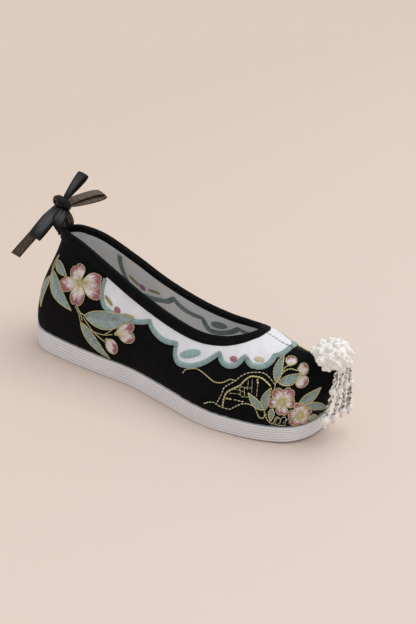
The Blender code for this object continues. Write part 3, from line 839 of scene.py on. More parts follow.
def wall_mesh(name, inset):
    """Both halves of the upper as one open sheet, moved inwards by inset."""
    points, faces, cloth, offsets = [], [], [], []
    for side, _ in SIDES:
        net = NETS[side]
        rows, columns = net.up.shape
        first = len(points)
        points += list(net.points.reshape(-1, 3))
        cloth += list(net.cloth.reshape(-1, 2))
        offsets += list(crease_offset(side, net.cloth[..., 0], net.cloth[..., 1]).ravel())
        faces += [tuple(first + index for index in face[::side]) for face in grid_faces(rows, columns)]
    bare = mesh_from(name, points, faces, outwards=False)
    normals = np.array([vertex.normal for vertex in bare.vertices])
    bpy.data.meshes.remove(bare)
    moved = np.array(points) + normals * (np.array(offsets) - inset)[:, None]
    return mesh_from(name, moved, faces, cloth, merge=0.02, outwards=False)


def sheet_of(mesh):
    """A mesh's points in millimetres, and its faces."""
    return [vertex.co / MM for vertex in mesh.vertices], [tuple(face.vertices) for face in mesh.polygons]


def surface_tree(*sheets):
    """One surface to find places on, from sheets of points and faces."""
    points, faces = [], []
    for sheet_points, sheet_faces in sheets:
        first = len(points)
        points += [Vector(point) for point in sheet_points]
        faces += [tuple(first + index for index in face) for face in sheet_faces]
    return BVHTree.FromPolygons(points, faces)


print("net of each side", NETS[OUTER].up.shape, "sole's edge in mm", round(NETS[OUTER].along[-1], 1))

# %% Cloth and lining of the upper
BLACK_COLOURS = ((0.0012, 0.0012, 0.0015), (0.0042, 0.0042, 0.0046))
BLACK_CLOTH = cloth_finish(
    "black_cloth", 0.85, (150.0, 8.0), BLACK_COLOURS, (1700.0, 0.22, 0.7),
    Specular_IOR_Level=0.12, Sheen_Weight=0.02, Sheen_Roughness=0.35,
)
CLOTH_THICK = 1.0
LINING_START = 1.05
cloth_mesh = wall_mesh("upper_cloth", 0.0)
CLOTH_FACE = surface_tree(sheet_of(cloth_mesh))
dress(thicken(add_piece(cloth_mesh, BLACK_CLOTH), CLOTH_THICK), "black_cloth", "upper")
lining_face = wall_mesh("lining_face", WALL)
LINING_FACE = surface_tree(sheet_of(lining_face))
bpy.data.meshes.remove(lining_face)
lining = add_piece(wall_mesh("upper_lining", LINING_START), LINING_WHITE)
dress(thicken(lining, WALL - LINING_START), "lining_white", "upper")

# %% [markdown]
# ## The collar
# A black tape is folded over the collar's edge. Below it lies a white panel with a scalloped
# edge. Both follow the collar, so places on them are given by how far they lie along it from the
# heel and how deep below its edge. A cutter pushed through the upper would give the outline but
# not the lie of the cloth, so the panel is a net of its own on the upper's face.

# %% Places along the collar
COLLAR_STEPS = 40
EDGE_STEP = 0.5
EDGE_SMOOTHING = 10


def nearest_on(face, point):
    place, normal, _, _ = face.find_nearest(Vector(point))
    return np.array(place), np.array(normal)


def smoothed(rows, reach):
    """Vectors averaged over their neighbours at unit length. Past each end the other side mirrors them."""
    rows = np.array(rows)
    mirror = np.array((1.0, -1.0, 1.0))
    padded = np.vstack((rows[reach:0:-1] * mirror, rows, rows[-2 : -reach - 2 : -1] * mirror))
    total = sum(padded[step : step + len(rows)] for step in range(2 * reach + 1))
    return total / np.linalg.norm(total, axis=1)[:, None]


class Collar:
    """The collar's edge on both sides, from the middle of the heel to the front of the throat."""

    def __init__(self):
        positions = np.linspace(0.0, THROAT_ROW, THROAT_ROW * COLLAR_STEPS + 1)
        edges = {
            side: np.array([wall_points(side, position, (1.0,))[0] for position in positions])
            for side, _ in SIDES
        }
        lengths = lengths_along(edges[OUTER])
        self.length = lengths[-1]
        self.stops = np.linspace(0.0, self.length, round(self.length / EDGE_STEP) + 1)
        self.places, self.downs, self.normals = {}, {}, {}
        for side, _ in SIDES:
            places = at_lengths(edges[side], lengths, self.stops)
            tangents = np.gradient(places, axis=0)
            tangents[[0, -1]] *= (0.0, 1.0, 0.0)
            normals = smoothed([nearest_on(CLOTH_FACE, place)[1] for place in places], EDGE_SMOOTHING)
            self.places[side], self.normals[side] = places, normals
            self.downs[side] = smoothed(-side * np.cross(tangents, normals), EDGE_SMOOTHING)

    def edge(self, side, along):
        """The collar's edge, the way down from it along the upper, and the upper's normal."""
        here, down, normal = (
            at_lengths(rows[side], self.stops, [along])[0]
            for rows in (self.places, self.downs, self.normals)
        )
        return here, unit(down), unit(normal)

    def at(self, side, along, depth):
        """A place on the upper's outer face below the collar's edge, and the normal there."""
        here, down, _ = self.edge(side, along)
        return nearest_on(CLOTH_FACE, here + down * depth)


COLLAR = Collar()
print("collar from heel to throat in mm", round(COLLAR.length, 1))

# %% Binding
BINDING_WIDTH = 6.1
BINDING_INSIDE = 0.52
BINDING_FRONT_WIDTH = 4.0
BINDING_TAPER = 14.0
BINDING_SPACING = 1.1
TAPE_THICK = 0.6
TAPE_RIPPLE = 0.05
RIPPLE_TURNS = (0.9, 0.23)
BindingRow = namedtuple("BindingRow", "depth lift")
BINDING_FOLD = (
    BindingRow(-0.6, 0.95),
    BindingRow(-1.05, 0.25),
    BindingRow(-1.2, -0.5 * WALL),
    BindingRow(-1.05, -WALL - 0.25),
    BindingRow(-0.6, -WALL - 0.95),
)


def binding_width(along):
    """The binding narrows towards the front of the throat."""
    share = max(0.0, 1 - (COLLAR.length - along) / BINDING_TAPER)
    return BINDING_WIDTH + (BINDING_FRONT_WIDTH - BINDING_WIDTH) * share


def binding_section(width):
    """Across the tape, from its outer edge over the fold to its inner edge."""
    outer = [
        BindingRow(width, 0.62),
        BindingRow(width - 0.3, 0.9),
        BindingRow(0.75 * width, 1.02),
        BindingRow(0.45 * width, 1.08),
        BindingRow(0.15 * width, 1.08),
    ]
    inner = [BindingRow(BINDING_INSIDE * row.depth, -WALL - row.lift) for row in reversed(outer)]
    return [*outer, *BINDING_FOLD, *inner]


def collar_stops(spacing):
    """Stops right round the collar at about even distances, starting at the heel's outer side."""
    count = round(COLLAR.length / spacing)
    stops = [COLLAR.length * step / count for step in range(count + 1)]
    return [(OUTER, along) for along in stops] + [(INNER, along) for along in stops[-2:0:-1]]


def binding_mesh():
    points, cloth = [], []
    stops = collar_stops(BINDING_SPACING)
    for number, (side, along) in enumerate(stops):
        here, down, edge_normal = COLLAR.edge(side, along)
        section = binding_section(binding_width(along))
        ripple = 1 + TAPE_RIPPLE * math.prod(math.sin(number * turn) for turn in RIPPLE_TURNS)
        row = []
        for depth, lift in section:
            place, normal = here + down * depth, edge_normal
            if depth > 0:
                place, normal = nearest_on(CLOTH_FACE, place)
            row.append(place + normal * lift * (ripple if lift > 0 else 1.0))
        points += row
        across = lengths_along(np.array(row))
        cloth += [(number * BINDING_SPACING, far) for far in across]
    faces = grid_faces(len(stops), len(section), closed=True)
    return mesh_from("collar_tape", points, faces, cloth)


TAPE_COLOURS = ((0.0016, 0.0016, 0.0018), (0.0045, 0.0045, 0.0048))
BLACK_TAPE = cloth_finish(
    "black_binding", 0.66, (190.0, 6.0), TAPE_COLOURS, (1900.0, 0.25, 0.8), math.radians(45),
    Specular_IOR_Level=0.08,
)
tape = thicken(add_piece(binding_mesh(), BLACK_TAPE), TAPE_THICK, 0.0)
dress(tape, "black_binding", "collar_binding")

# %% Scalloped panels
# For each lobe: how far along the collar its belly lies and how deep below the collar's edge it
# hangs, then the place and depth of the cusp that ends it. The last lobe ends on the crest.
Lobe = namedtuple("Lobe", "name belly_at belly end cusp")
PANEL_STARTS = {OUTER: 63.0, INNER: 48.8}
PANEL_TOP = 8.5
FRONT_LOBES = (Lobe("front", 189.0, 29.0, 193.0, 24.0), Lobe("crest", 196.0, 25.5, 197.0, 25.5))
LOBES = {
    OUTER: (
        Lobe("rear", 78.0, 27.0, 112.0, 12.8),
        Lobe("step", 127.0, 18.0, 138.0, 15.0),
        Lobe("deep", 147.0, 26.0, 169.0, 12.8),
        Lobe("middle", 177.0, 23.0, 183.0, 18.0),
        *FRONT_LOBES,
    ),
    INNER: (
        Lobe("rear", 63.0, 41.0, 103.0, 15.0),
        Lobe("step", 118.0, 21.8, 125.5, 20.4),
        Lobe("deep", 132.0, 31.0, 153.0, 17.2),
        Lobe("middle", 168.0, 24.0, 181.0, 18.0),
        *FRONT_LOBES,
    ),
}
LOBE_DROP_POWER = 0.55
LOBE_RISE_POWER = 0.8
LOBE_DROP_PACE, LOBE_RISE_PACE = 2, 1.5
LOBE_STEPS = 14
BORDER_WIDTH = 3.6
PANEL_UNDERLAP = 1.6
PANEL_LIFT = 0.42
PANEL_THICK = 0.4
PANEL_SPACING = 1.3
PANEL_COLUMNS = 12
PANEL_UNDER_BORDER = 0.55
PANEL_SWELL, PANEL_WAVE = 0.12, 0.10
WAVE_TURN, WAVE_LEAN = 0.55, 2.0
CENTRE_SEAM_HALF = 0.2


def scallop_line(side):
    """The panel's lower edge as distances along the collar and depths below it."""
    line = []
    start, depth = PANEL_STARTS[side], PANEL_TOP
    for lobe in LOBES[side]:
        end = COLLAR.length if lobe is LOBES[side][-1] else lobe.end
        for step in range(LOBE_STEPS):
            share = (step / LOBE_STEPS) ** LOBE_DROP_PACE
            drop = math.sin(math.pi / 2 * share) ** LOBE_DROP_POWER
            along = start + (lobe.belly_at - start) * share
            line.append((along, depth + (lobe.belly - depth) * drop))
        for step in range(LOBE_STEPS):
            share = 1 - (1 - step / LOBE_STEPS) ** LOBE_RISE_PACE
            rise = math.cos(math.pi / 2 * share) ** LOBE_RISE_POWER
            along = lobe.belly_at + (end - lobe.belly_at) * share
            line.append((along, lobe.cusp + (lobe.belly - lobe.cusp) * rise))
        start, depth = end, lobe.cusp
    line.append((start, depth))
    return np.array(line)


def to_own_side(side, point):
    """Keeps a point of one half of the panel on its own side of the seam along the crest."""
    seam = swing(point[0]) + side * CENTRE_SEAM_HALF
    point[1] = side * max(side * point[1], side * seam)
    return point


class Scallops:
    """One side's scalloped edge on the upper, at even distances, with the ways into the panel."""

    def __init__(self, side, spacing):
        line = scallop_line(side)
        places = np.array([COLLAR.at(side, along, depth)[0] for along, depth in line])
        even = even_path(np.hstack((places, line[:, :1])), spacing)
        self.edge, self.along = even[:, :3], even[:, 3]
        tangents = np.gradient(self.edge, axis=0)
        normals = np.array([nearest_on(CLOTH_FACE, place)[1] for place in self.edge])
        self.inward = side * np.cross(tangents, normals)
        self.inward /= np.linalg.norm(self.inward, axis=1)[:, None]


def panel_mesh(side, name):
    """The white cloth from under the tape to the middle of its stitched border."""
    scallops = Scallops(side, PANEL_SPACING)
    margin = PANEL_UNDER_BORDER * BORDER_WIDTH
    reach = COLLAR.length - PANEL_STARTS[side]
    squeeze = (reach - margin) / reach
    shares = np.linspace(0.0, 1.0, PANEL_COLUMNS)
    points, cloth = [], []
    for number, (place, inward, along) in enumerate(zip(scallops.edge, scallops.inward, scallops.along)):
        top_along = COLLAR.length - (COLLAR.length - along) * squeeze
        top = COLLAR.at(side, top_along, binding_width(top_along) - PANEL_UNDERLAP)[0]
        low = place + inward * margin
        for share in shares:
            on_face, normal = nearest_on(CLOTH_FACE, top + (low - top) * share)
            wave = PANEL_WAVE * math.sin(number * WAVE_TURN + WAVE_LEAN * share)
            lift = PANEL_LIFT + math.sin(math.pi * share) * (PANEL_SWELL + wave)
            points.append(to_own_side(side, on_face + normal * lift))
            cloth.append((along, share * np.linalg.norm(low - top)))
    return mesh_from(name, points, grid_faces(len(scallops.edge), PANEL_COLUMNS), cloth)


SATIN_COLOURS = ((0.82, 0.82, 0.86), (0.92, 0.925, 0.96))
WHITE_SATIN = cloth_finish(
    "white_satin", 0.62, (70.0, 5.0), SATIN_COLOURS, (2300.0, 0.16, 0.6),
    Specular_IOR_Level=0.35, Sheen_Weight=0.2, Sheen_Roughness=0.5,
)
PANELS = []
for side, name in SIDES:
    panel = add_piece(panel_mesh(side, f"scallop_panel_{name}"), WHITE_SATIN)
    PANELS.append(dress(thicken(panel, PANEL_THICK, 0.0), "white_satin", f"collar_panel_{name}"))

# %% [markdown]
# ## Thread
# Every stitch is a short length of thread that lies on the cloth. Lines of colour in a picture
# would do from afar, but real thread stands up, shines along its length and shades its neighbour.
# So the script only lays out where each stitch runs, as a wire of points with a colour and a
# thickness, and one Geometry Nodes tree sweeps a section along every wire. With a flat section and
# a twist the same tree makes the gold cord.

# %% Tree that sweeps thread along wires
def new_sewing_tree(name, **inputs):
    """A Geometry Nodes tree that takes a geometry, a material and inputs of its own."""
    every = {"Geometry": "Geometry", **inputs, "Material": "Material"}
    return new_tree("Geometry", name, every, "Geometry", "Geometry")


def carried(tree, name):
    """The number that the points carry under a name."""
    return put(tree, "GeometryNodeInputNamedAttribute", {"data_type": "FLOAT"}, Name=name).outputs[0]


def end_tree(tree, start, end, geometry):
    """Smooths the result, makes its instances real and gives it the material that was handed in."""
    smooth = put(tree, "GeometryNodeSetShadeSmooth", Geometry=geometry)
    real = put(tree, "GeometryNodeRealizeInstances", Geometry=smooth.outputs[0])
    clad = put(tree, "GeometryNodeSetMaterial", Geometry=real.outputs[0], Material=start["Material"])
    feed(tree, end, clad.outputs[0])
    return tree


def thread_tree():
    tree, start, end = new_sewing_tree(
        "sewn_thread", Sides="Int", Flatness="Float", Spacing="Float", Twist="Float"
    )
    wire = put(tree, "GeometryNodeMeshToCurve", Mesh=start["Geometry"]).outputs[0]
    even = put(tree, "GeometryNodeResampleCurve", {"mode": "LENGTH"}, Curve=wire, Length=start["Spacing"])
    along = put(tree, "GeometryNodeSplineParameter").outputs["Length"]
    twist = maths(tree, "MULTIPLY", along, start["Twist"])
    tilt = put(tree, "GeometryNodeSetCurveTilt", Curve=even.outputs[0], Tilt=twist)
    section = put(tree, "GeometryNodeCurvePrimitiveCircle", Resolution=start["Sides"], Radius=1.0)
    scale = put(tree, "ShaderNodeCombineXYZ", X=1.0, Y=start["Flatness"], Z=1.0).outputs[0]
    flat = put(tree, "GeometryNodeTransform", Geometry=section.outputs["Curve"], Scale=scale)
    sweep = put(
        tree, "GeometryNodeCurveToMesh", Curve=tilt.outputs[0], Profile_Curve=flat.outputs[0],
        Scale=carried(tree, "thread_radius"), Fill_Caps=True,
    )
    return end_tree(tree, start, end, sweep.outputs[0])


THREAD_TREE = thread_tree()


def run_tree(piece, tree, **values):
    """Runs a tree on a piece, with its inputs set by their sockets' identifiers, and keeps the mesh."""
    modifier = piece.modifiers.new(tree.name, "NODES")
    modifier.node_group = tree
    for socket in tree.interface.items_tree:
        if socket.in_out == "INPUT" and socket.name in values:
            modifier[socket.identifier] = values[socket.name]
    return finish_modifiers(piece)


print("tree", THREAD_TREE.name, "nodes", len(THREAD_TREE.nodes))

# %% Wires, and colours that vary a little
DRAWS_SEED = 7
DICE = random.Random(DRAWS_SEED)
print("seed of the draws", DRAWS_SEED)


def tint(colour, change):
    """The colour a little lighter or darker, as from one length of thread to the next."""
    return np.clip(np.array(colour) * (1 + DICE.uniform(-change, change)), 0.0, 1.0)


class Wires:
    """Lines of points in millimetres, with the colour and the radius of the thread on each."""

    def __init__(self):
        self.points, self.edges, self.colours, self.radii = [], [], [], []

    def add(self, line, colours, radius):
        first = len(self.points)
        self.points += list(line)
        self.edges += [(first + step, first + step + 1) for step in range(len(line) - 1)]
        self.colours += list(np.broadcast_to(colours, (len(line), 3)))
        self.radii += list(np.broadcast_to(radius, len(line)))

    def sew(self, name, material, sides=5, flatness=1.0, spacing=0.9, turns=0.0):
        """One piece of swept thread along all the wires. turns is how often it twists in a centimetre."""
        mesh = bpy.data.meshes.new(name)
        mesh.from_pydata((np.array(self.points) * MM).tolist(), self.edges, [])
        mark_points(mesh, thread_radius=np.array(self.radii) * MM)
        colours = mesh.attributes.new("thread_colour", "FLOAT_COLOR", "POINT")
        opaque = np.concatenate((np.array(self.colours), np.ones((len(self.points), 1))), axis=1)
        colours.data.foreach_set("color", opaque.ravel())
        return run_tree(
            add_piece(mesh), THREAD_TREE, Sides=sides, Flatness=flatness, Spacing=spacing * MM,
            Twist=turns * 2 * math.pi / (10 * MM), Material=material,
        )


# %% Finishes of silk floss and gold cord
def scaled_colour(tree, shader, colour, share):
    """Feeds a colour, darkened to a share, to the shader."""
    node = put(tree, "ShaderNodeVectorMath", {"operation": "SCALE"}, Vector=colour, Scale=share)
    paint(tree, shader, node.outputs[0])


def thread_finish(name, roughness, clouds, change, **constants):
    """The thread's own colour, times a share that clouds change: by how much, and from what."""
    material, tree, shader = new_material(name, roughness, **constants)
    shade = maths(tree, "MULTIPLY_ADD", cloudy(tree, *clouds), *change)
    scaled_colour(tree, shader, attribute(tree, "thread_colour", "Color"), shade)
    return material


FLOSS = thread_finish(
    "silk_floss", 0.42, (900.0, 2.0), (0.22, 0.84),
    Specular_IOR_Level=0.45, Sheen_Weight=0.1, Sheen_Roughness=0.4,
)
GOLD_CORD = thread_finish(
    "gold_cord", 0.38, (700.0, 3.0), (0.4, 0.72), Metallic=0.35, Specular_IOR_Level=0.5
)
print("threads", FLOSS.name, GOLD_CORD.name)

# %% [markdown]
# ## The stitched border
# A border of pale teal floss covers the panel's edge. Its stitches lie side by side straight
# across, over a soft core that makes it stand up. A tube along the edge would look like piping, so
# the core is a low strip and some hundreds of single stitches arch over it. The same line shows
# on the lining, where the stitches come through, only flatter.

# %% Border of satin stitch
TEAL = (0.33, 0.465, 0.455)
TEAL_REVERSE = (0.24, 0.31, 0.295)
TEAL_SPREAD = 0.10
BUNDLE = 4
# painted shade: stitches are darker at the ends of each bundle, where the bundles thin and dip
BUNDLE_SHADED, BUNDLE_LIT = 0.72, 0.34
BUNDLE_THIN, BUNDLE_THICK = 0.8, 0.35
STITCH_SPACING = 0.5
STITCH_RADIUS = 0.30
STITCH_SMOOTHING = 5
BORDER_ARCH = 0.85
BORDER_FOOT = 0.35
CORE_LIFT = 0.45


def border_rows(side, spacing, shares, arch, foot, face, lift_sign=1.0):
    """For each stitch of the border, the points of its arch across the border's width."""
    scallops = Scallops(side, spacing)
    inward = smoothed(scallops.inward, STITCH_SMOOTHING)
    rows = []
    for place, across in zip(scallops.edge, inward):
        row = []
        for share in shares:
            on_face, normal = nearest_on(face, place + across * BORDER_WIDTH * share)
            rise = foot + arch * math.sqrt(max(0.0, 1 - (2 * share - 1) ** 2))
            row.append(to_own_side(side, on_face + normal * rise * lift_sign))
        rows.append(np.array(row))
    return rows


def border_core(side, name):
    """The soft strip under the stitches."""
    shares = (0.0, 0.06, 0.25, 0.5, 0.75, 0.94, 1.0)
    rows = border_rows(side, PANEL_SPACING, shares, BORDER_ARCH, CORE_LIFT - BORDER_ARCH, CLOTH_FACE)
    return mesh_from(name, np.concatenate(rows), grid_faces(len(rows), len(shares)))


TEAL_DARK = tuple(0.75 * value for value in TEAL)
TEAL_CORE = cloth_finish("teal_core", 0.6, (300.0, 3.0), (TEAL_DARK, TEAL))
CORE_THICK = 0.4
STITCH_SHARES = (0.0, 0.12, 0.5, 0.88, 1.0)
for side, name in SIDES:
    core = thicken(add_piece(border_core(side, f"border_core_{name}"), TEAL_CORE), CORE_THICK, 0.0)
    PANELS.append(dress(core, "teal_thread", f"panel_border_{name}"))
    wires = Wires()
    rows = border_rows(side, STITCH_SPACING, STITCH_SHARES, BORDER_ARCH, BORDER_FOOT, CLOTH_FACE)
    for number, row in enumerate(rows):
        swell = math.sin(math.pi * (number % BUNDLE + 0.5) / BUNDLE)
        # painted shade between bundles, lighter in each bundle's middle
        colour = tint(TEAL, TEAL_SPREAD) * (BUNDLE_SHADED + BUNDLE_LIT * swell)
        wires.add(row, colour, STITCH_RADIUS * (BUNDLE_THIN + BUNDLE_THICK * swell))
    stitches = wires.sew(f"border_stitches_{name}", FLOSS)
    dress(stitches, "teal_thread", f"panel_border_{name}")

# %% [markdown]
# ## Embroidery
# Each motif was first drawn flat on the cut cloth, so the tables below give it in millimetres along
# the sole's edge from the heel and up the wall from it. Both sides carry the toe motif, and only
# the outer side the spray at the heel. A leaf is filled with slanting stitches in two halves, a
# petal with long and short stitches that turn from white to rose, and a couched gold cord goes
# round both. Placing flat drawings by a projection would stretch them on the curved toe, so each
# shape is drawn on a small flat patch of its own and then laid down on the cloth under it.

# %% Tables of the embroidery
Leaf = namedtuple("Leaf", "base tip width bend")
Petal = namedtuple("Petal", "tip width")
Flower = namedtuple("Flower", "centre petals")
Bud = namedtuple("Bud", "base tip width")
Line = namedtuple("Line", "style points")
HEEL_LEAVES = (
    Leaf((35.6, 43.7), (36.5, 18.2), 8.0, 3.0),
    Leaf((34.0, 57.0), (55.2, 49.1), 7.0, 0.8),
    Leaf((34.8, 48.5), (70.5, 26.8), 10.0, 3.4),
    Leaf((84.0, 27.0), (127.5, 37.7), 13.0, 3.0),
    Leaf((81.2, 21.0), (110.0, 1.8), 8.0, 1.6),
)
HEEL_FLOWERS = (
    Flower((71.8, 49.6), (
        Petal((50.2, 40.0), 10.5), Petal((73.2, 31.2), 13.0), Petal((94.8, 44.3), 11.5),
        Petal((92.1, 55.1), 12.0), Petal((61.6, 60.0), 14.0),
    )),
)
HEEL_BUDS = (
    Bud((113.7, 21.8), (128.7, 31.6), 8.0),
    Bud((116.2, 22.2), (131.4, 23.4), 9.0),
    Bud((106.3, 15.8), (116.2, 8.5), 10.0),
)
HEEL_LINES = (
    Line("cord", ((33.2, 61.5), (32.4, 57.9), (31.6, 52.3), (34.8, 46.6), (35.6, 43.7))),
    Line("cord", ((34.0, 61.0), (33.6, 57.5), (34.4, 52.8), (34.8, 48.5))),
    Line("cord", ((73.2, 31.2), (78.5, 25.9), (81.2, 21.0), (88.1, 18.4), (101.3, 18.0), (111.3, 20.7))),
    Line("cord", ((82.6, 25.4), (93.5, 17.9), (105.1, 13.4))),
    Line("cord", ((112.5, 27.3), (108.8, 22.6), (103.8, 18.5))),
    Line("cord", ((78.5, 27.8), (84.0, 27.0))),
    Line("cord", ((74.4, 31.6), (79.6, 27.2), (82.2, 22.6))),
)
TOE_LEAVES = (
    Leaf((244.6, 11.4), (234.1, 20.6), 4.8, -0.6),
    Leaf((245.2, 11.3), (247.6, 26.3), 5.2, -1.2),
    Leaf((265.8, 16.9), (276.1, 28.0), 5.8, 0.8),
    Leaf((268.9, 16.4), (288.5, 7.8), 5.8, -1.6),
    Leaf((274.2, 5.5), (282.2, 3.0), 4.6, 0.0),
    Leaf((250.1, 13.0), (249.8, 4.3), 3.8, 0.0),
    Leaf((250.1, 30.0), (250.6, 49.4), 5.6, -1.0),
    Leaf((251.8, 29.7), (262.6, 37.1), 6.4, 0.8),
)
TOE_FLOWERS = (
    Flower((255.8, 17.2), (
        Petal((246.7, 16.4), 6.0), Petal((256.6, 9.0), 7.6), Petal((262.9, 18.9), 7.4),
        Petal((259.4, 27.1), 7.4), Petal((250.0, 26.0), 7.8),
    )),
    Flower((267.9, 9.1), (
        Petal((260.1, 10.3), 6.2), Petal((264.1, 1.2), 6.8), Petal((274.6, 2.1), 7.0),
        Petal((274.3, 12.7), 6.6), Petal((265.5, 18.4), 7.0),
    )),
)
TOE_BUDS = (
    Bud((255.1, 41.9), (255.9, 48.7), 7.5),
    Bud((260.1, 39.7), (265.7, 40.9), 8.0),
    Bud((261.2, 34.9), (266.4, 29.2), 9.0),
)
TOE_LINES = (
    Line("rope", (
        (212.6, 8.9), (213.9, 11.8), (215.7, 16.2), (216.8, 20.0), (219.5, 22.6), (224.7, 26.8),
        (227.2, 29.9), (232.4, 33.2), (237.0, 34.6), (241.2, 35.1), (244.7, 33.4), (249.4, 28.5),
    )),
    Line("thick", (
        (216.8, 7.8), (217.4, 12.8), (219.0, 17.4), (223.2, 21.0), (227.8, 24.4), (230.4, 27.5),
        (234.1, 31.1), (237.0, 31.9), (240.6, 31.8), (243.5, 30.3), (247.1, 27.2),
    )),
    Line("thin", ((227.8, 23.6), (228.9, 18.1))),
    Line("thin", ((231.3, 23.5), (232.1, 17.8))),
    Line("thin", ((233.5, 28.3), (233.5, 22.2))),
    Line("thin", ((236.2, 29.5), (236.6, 20.6))),
    Line("thin", ((239.6, 27.8), (239.6, 19.2))),
    Line("thick", ((238.9, 30.5), (239.6, 27.8))),
    Line("thin", ((228.1, 23.6), (232.6, 23.8), (236.5, 24.1))),
    Line("thin", ((223.6, 21.1), (227.8, 21.2), (233.0, 20.4))),
    Line("thin", ((221.0, 17.6), (227.2, 18.6), (230.1, 17.5), (234.1, 18.0))),
    Line("rope", ((224.7, 14.3), (231.5, 14.3))),
    Line("thick", ((219.0, 13.7), (223.2, 14.2))),
    Line("rope", (
        (202.0, 4.6), (206.5, 7.3), (210.6, 8.2), (215.1, 7.0), (221.5, 6.9), (225.7, 9.8),
        (230.1, 12.6), (234.1, 13.7),
    )),
    Line("cord", (
        (234.1, 13.7), (238.5, 12.7), (240.6, 9.3), (242.3, 6.0), (245.2, 5.9), (245.8, 9.0),
        (245.0, 11.4),
    )),
    Line("cord", (
        (182.3, 17.9), (184.3, 21.0), (189.2, 23.6), (194.6, 25.3), (200.4, 24.6), (205.0, 23.2),
        (209.3, 22.0), (213.9, 22.6), (217.4, 24.4), (220.6, 26.6), (224.4, 26.7),
    )),
    Line("cord", ((249.4, 28.5), (250.7, 33.8), (253.0, 40.2), (255.1, 42.6))),
    Line("cord", ((250.7, 29.9), (252.4, 36.5), (255.6, 39.7), (259.6, 39.2))),
    Line("cord", ((249.4, 28.5), (249.8, 25.2))),
    Line("cord", (
        (246.4, 8.9), (247.5, 5.1), (251.0, 2.4), (252.2, 4.4), (253.4, 7.5), (255.2, 7.4),
    )),
    Line("beads", ((252.7, 2.4), (254.5, 1.8), (257.5, 1.5), (260.5, 2.0))),
    Line("beads", ((253.2, 3.2), (253.7, 6.2), (255.4, 6.9), (256.4, 4.7), (254.8, 2.8))),
    Line("beads", ((256.0, 3.3), (256.4, 6.7), (258.4, 8.1), (259.6, 6.0), (258.0, 3.6))),
    Line("beads", ((259.2, 2.9), (259.8, 5.4), (261.1, 6.8), (261.9, 4.4), (260.6, 2.7))),
)

# Small filled shapes on the white panel: from base to tip, in one colour
Spot = namedtuple("Spot", "base tip width colour")
OLIVE = (0.38, 0.345, 0.12)
ROSE = (0.46, 0.17, 0.205)
STRAW = (0.66, 0.62, 0.42)
TEAL_SPOT = (0.34, 0.50, 0.50)
FRONT_SPOTS = (
    Spot((217.8, 39.7), (223.4, 40.2), 3.8, ROSE),
    Spot((235.9, 43.2), (241.1, 43.7), 3.6, STRAW),
)
PANEL_SPOTS = {
    OUTER: (
        Spot((97.4, 46.0), (106.3, 40.6), 2.6, OLIVE),
        Spot((108.3, 39.5), (114.3, 37.5), 4.6, ROSE),
        Spot((115.0, 36.8), (127.5, 37.7), 2.0, OLIVE),
        Spot((177.1, 28.1), (194.6, 36.7), 6.0, TEAL_SPOT),
        *FRONT_SPOTS,
    ),
    INNER: (
        Spot((81.9, 42.2), (91.7, 35.6), 2.6, OLIVE),
        Spot((92.0, 35.8), (97.8, 34.4), 4.4, ROSE),
        Spot((101.1, 35.1), (116.1, 37.6), 2.0, OLIVE),
        Spot((160.5, 23.5), (177.0, 29.5), 5.6, TEAL_SPOT),
        *FRONT_SPOTS,
    ),
}

print("leaves", len(HEEL_LEAVES + TOE_LEAVES), "lines", len(HEEL_LINES + TOE_LINES))

# %% Laying shapes on the shoe
DRAPE_REACH = 6.0


def overlay_tree():
    """The panels and the tops of their borders, which lie above the black cloth."""
    sheets = [sheet_of(panel.data) for panel in PANELS]
    top = BORDER_FOOT + STITCH_RADIUS
    for side, _ in SIDES:
        rows = border_rows(side, PANEL_SPACING, STITCH_SHARES, BORDER_ARCH, top, CLOTH_FACE)
        sheets.append((np.concatenate(rows), grid_faces(len(rows), len(STITCH_SHARES))))
    return surface_tree(*sheets)


OVERLAY = overlay_tree()


def drape(points, lift, inside=False):
    """Lays points on the outermost cloth under them, or inside on the lining, raised by lift."""
    laid = []
    for point, rise in zip(points, np.broadcast_to(lift, len(points))):
        if inside:
            place, normal = nearest_on(LINING_FACE, point)
            laid.append(place - normal * rise)
            continue
        place, normal = nearest_on(CLOTH_FACE, point)
        top = Vector(place + normal * DRAPE_REACH)
        hit = OVERLAY.ray_cast(top, Vector(-normal), DRAPE_REACH)[0]
        laid.append((place if hit is None else np.array(hit)) + normal * rise)
    return np.array(laid)


class Patch:
    """A flat patch on one side of the shoe, from a base to a tip, to draw on in millimetres."""

    def __init__(self, side, base, tip, inside=False):
        self.inside = inside
        self.start = NETS[side].at(*base)
        run = NETS[side].at(*tip) - self.start
        self.length = np.linalg.norm(run)
        self.ahead = run / self.length
        normal = nearest_on(CLOTH_FACE, self.start + run / 2)[1]
        self.across = side * unit(np.cross(normal, self.ahead))

    def lay(self, along, across, lift):
        """Places on the cloth for arrays of distances along and across the patch."""
        flat = self.start + np.outer(along, self.ahead) + np.outer(across, self.across)
        return drape(flat, lift, self.inside)


print("first leaf in mm", round(Patch(OUTER, HEEL_LEAVES[0].base, HEEL_LEAVES[0].tip).length, 1))

# %% Stitches and outlines
FLOSS_PITCH = 0.52
FLOSS_RADIUS = 0.27
FLOSS_LOW = 0.12
FLOSS_RISE = 0.28
FLOSS_TOP = FLOSS_LOW + FLOSS_RISE
STITCH_STEP = 0.9
STITCH_JITTER = 0.06
GOLD = (0.76, 0.67, 0.34)
GOLD_PALE = (0.84, 0.78, 0.55)
GOLD_SPREAD = 0.08
CORD_RADIUS = 0.45
CORD_LIFT = 0.42
OUTLINE_LIFT = 0.62


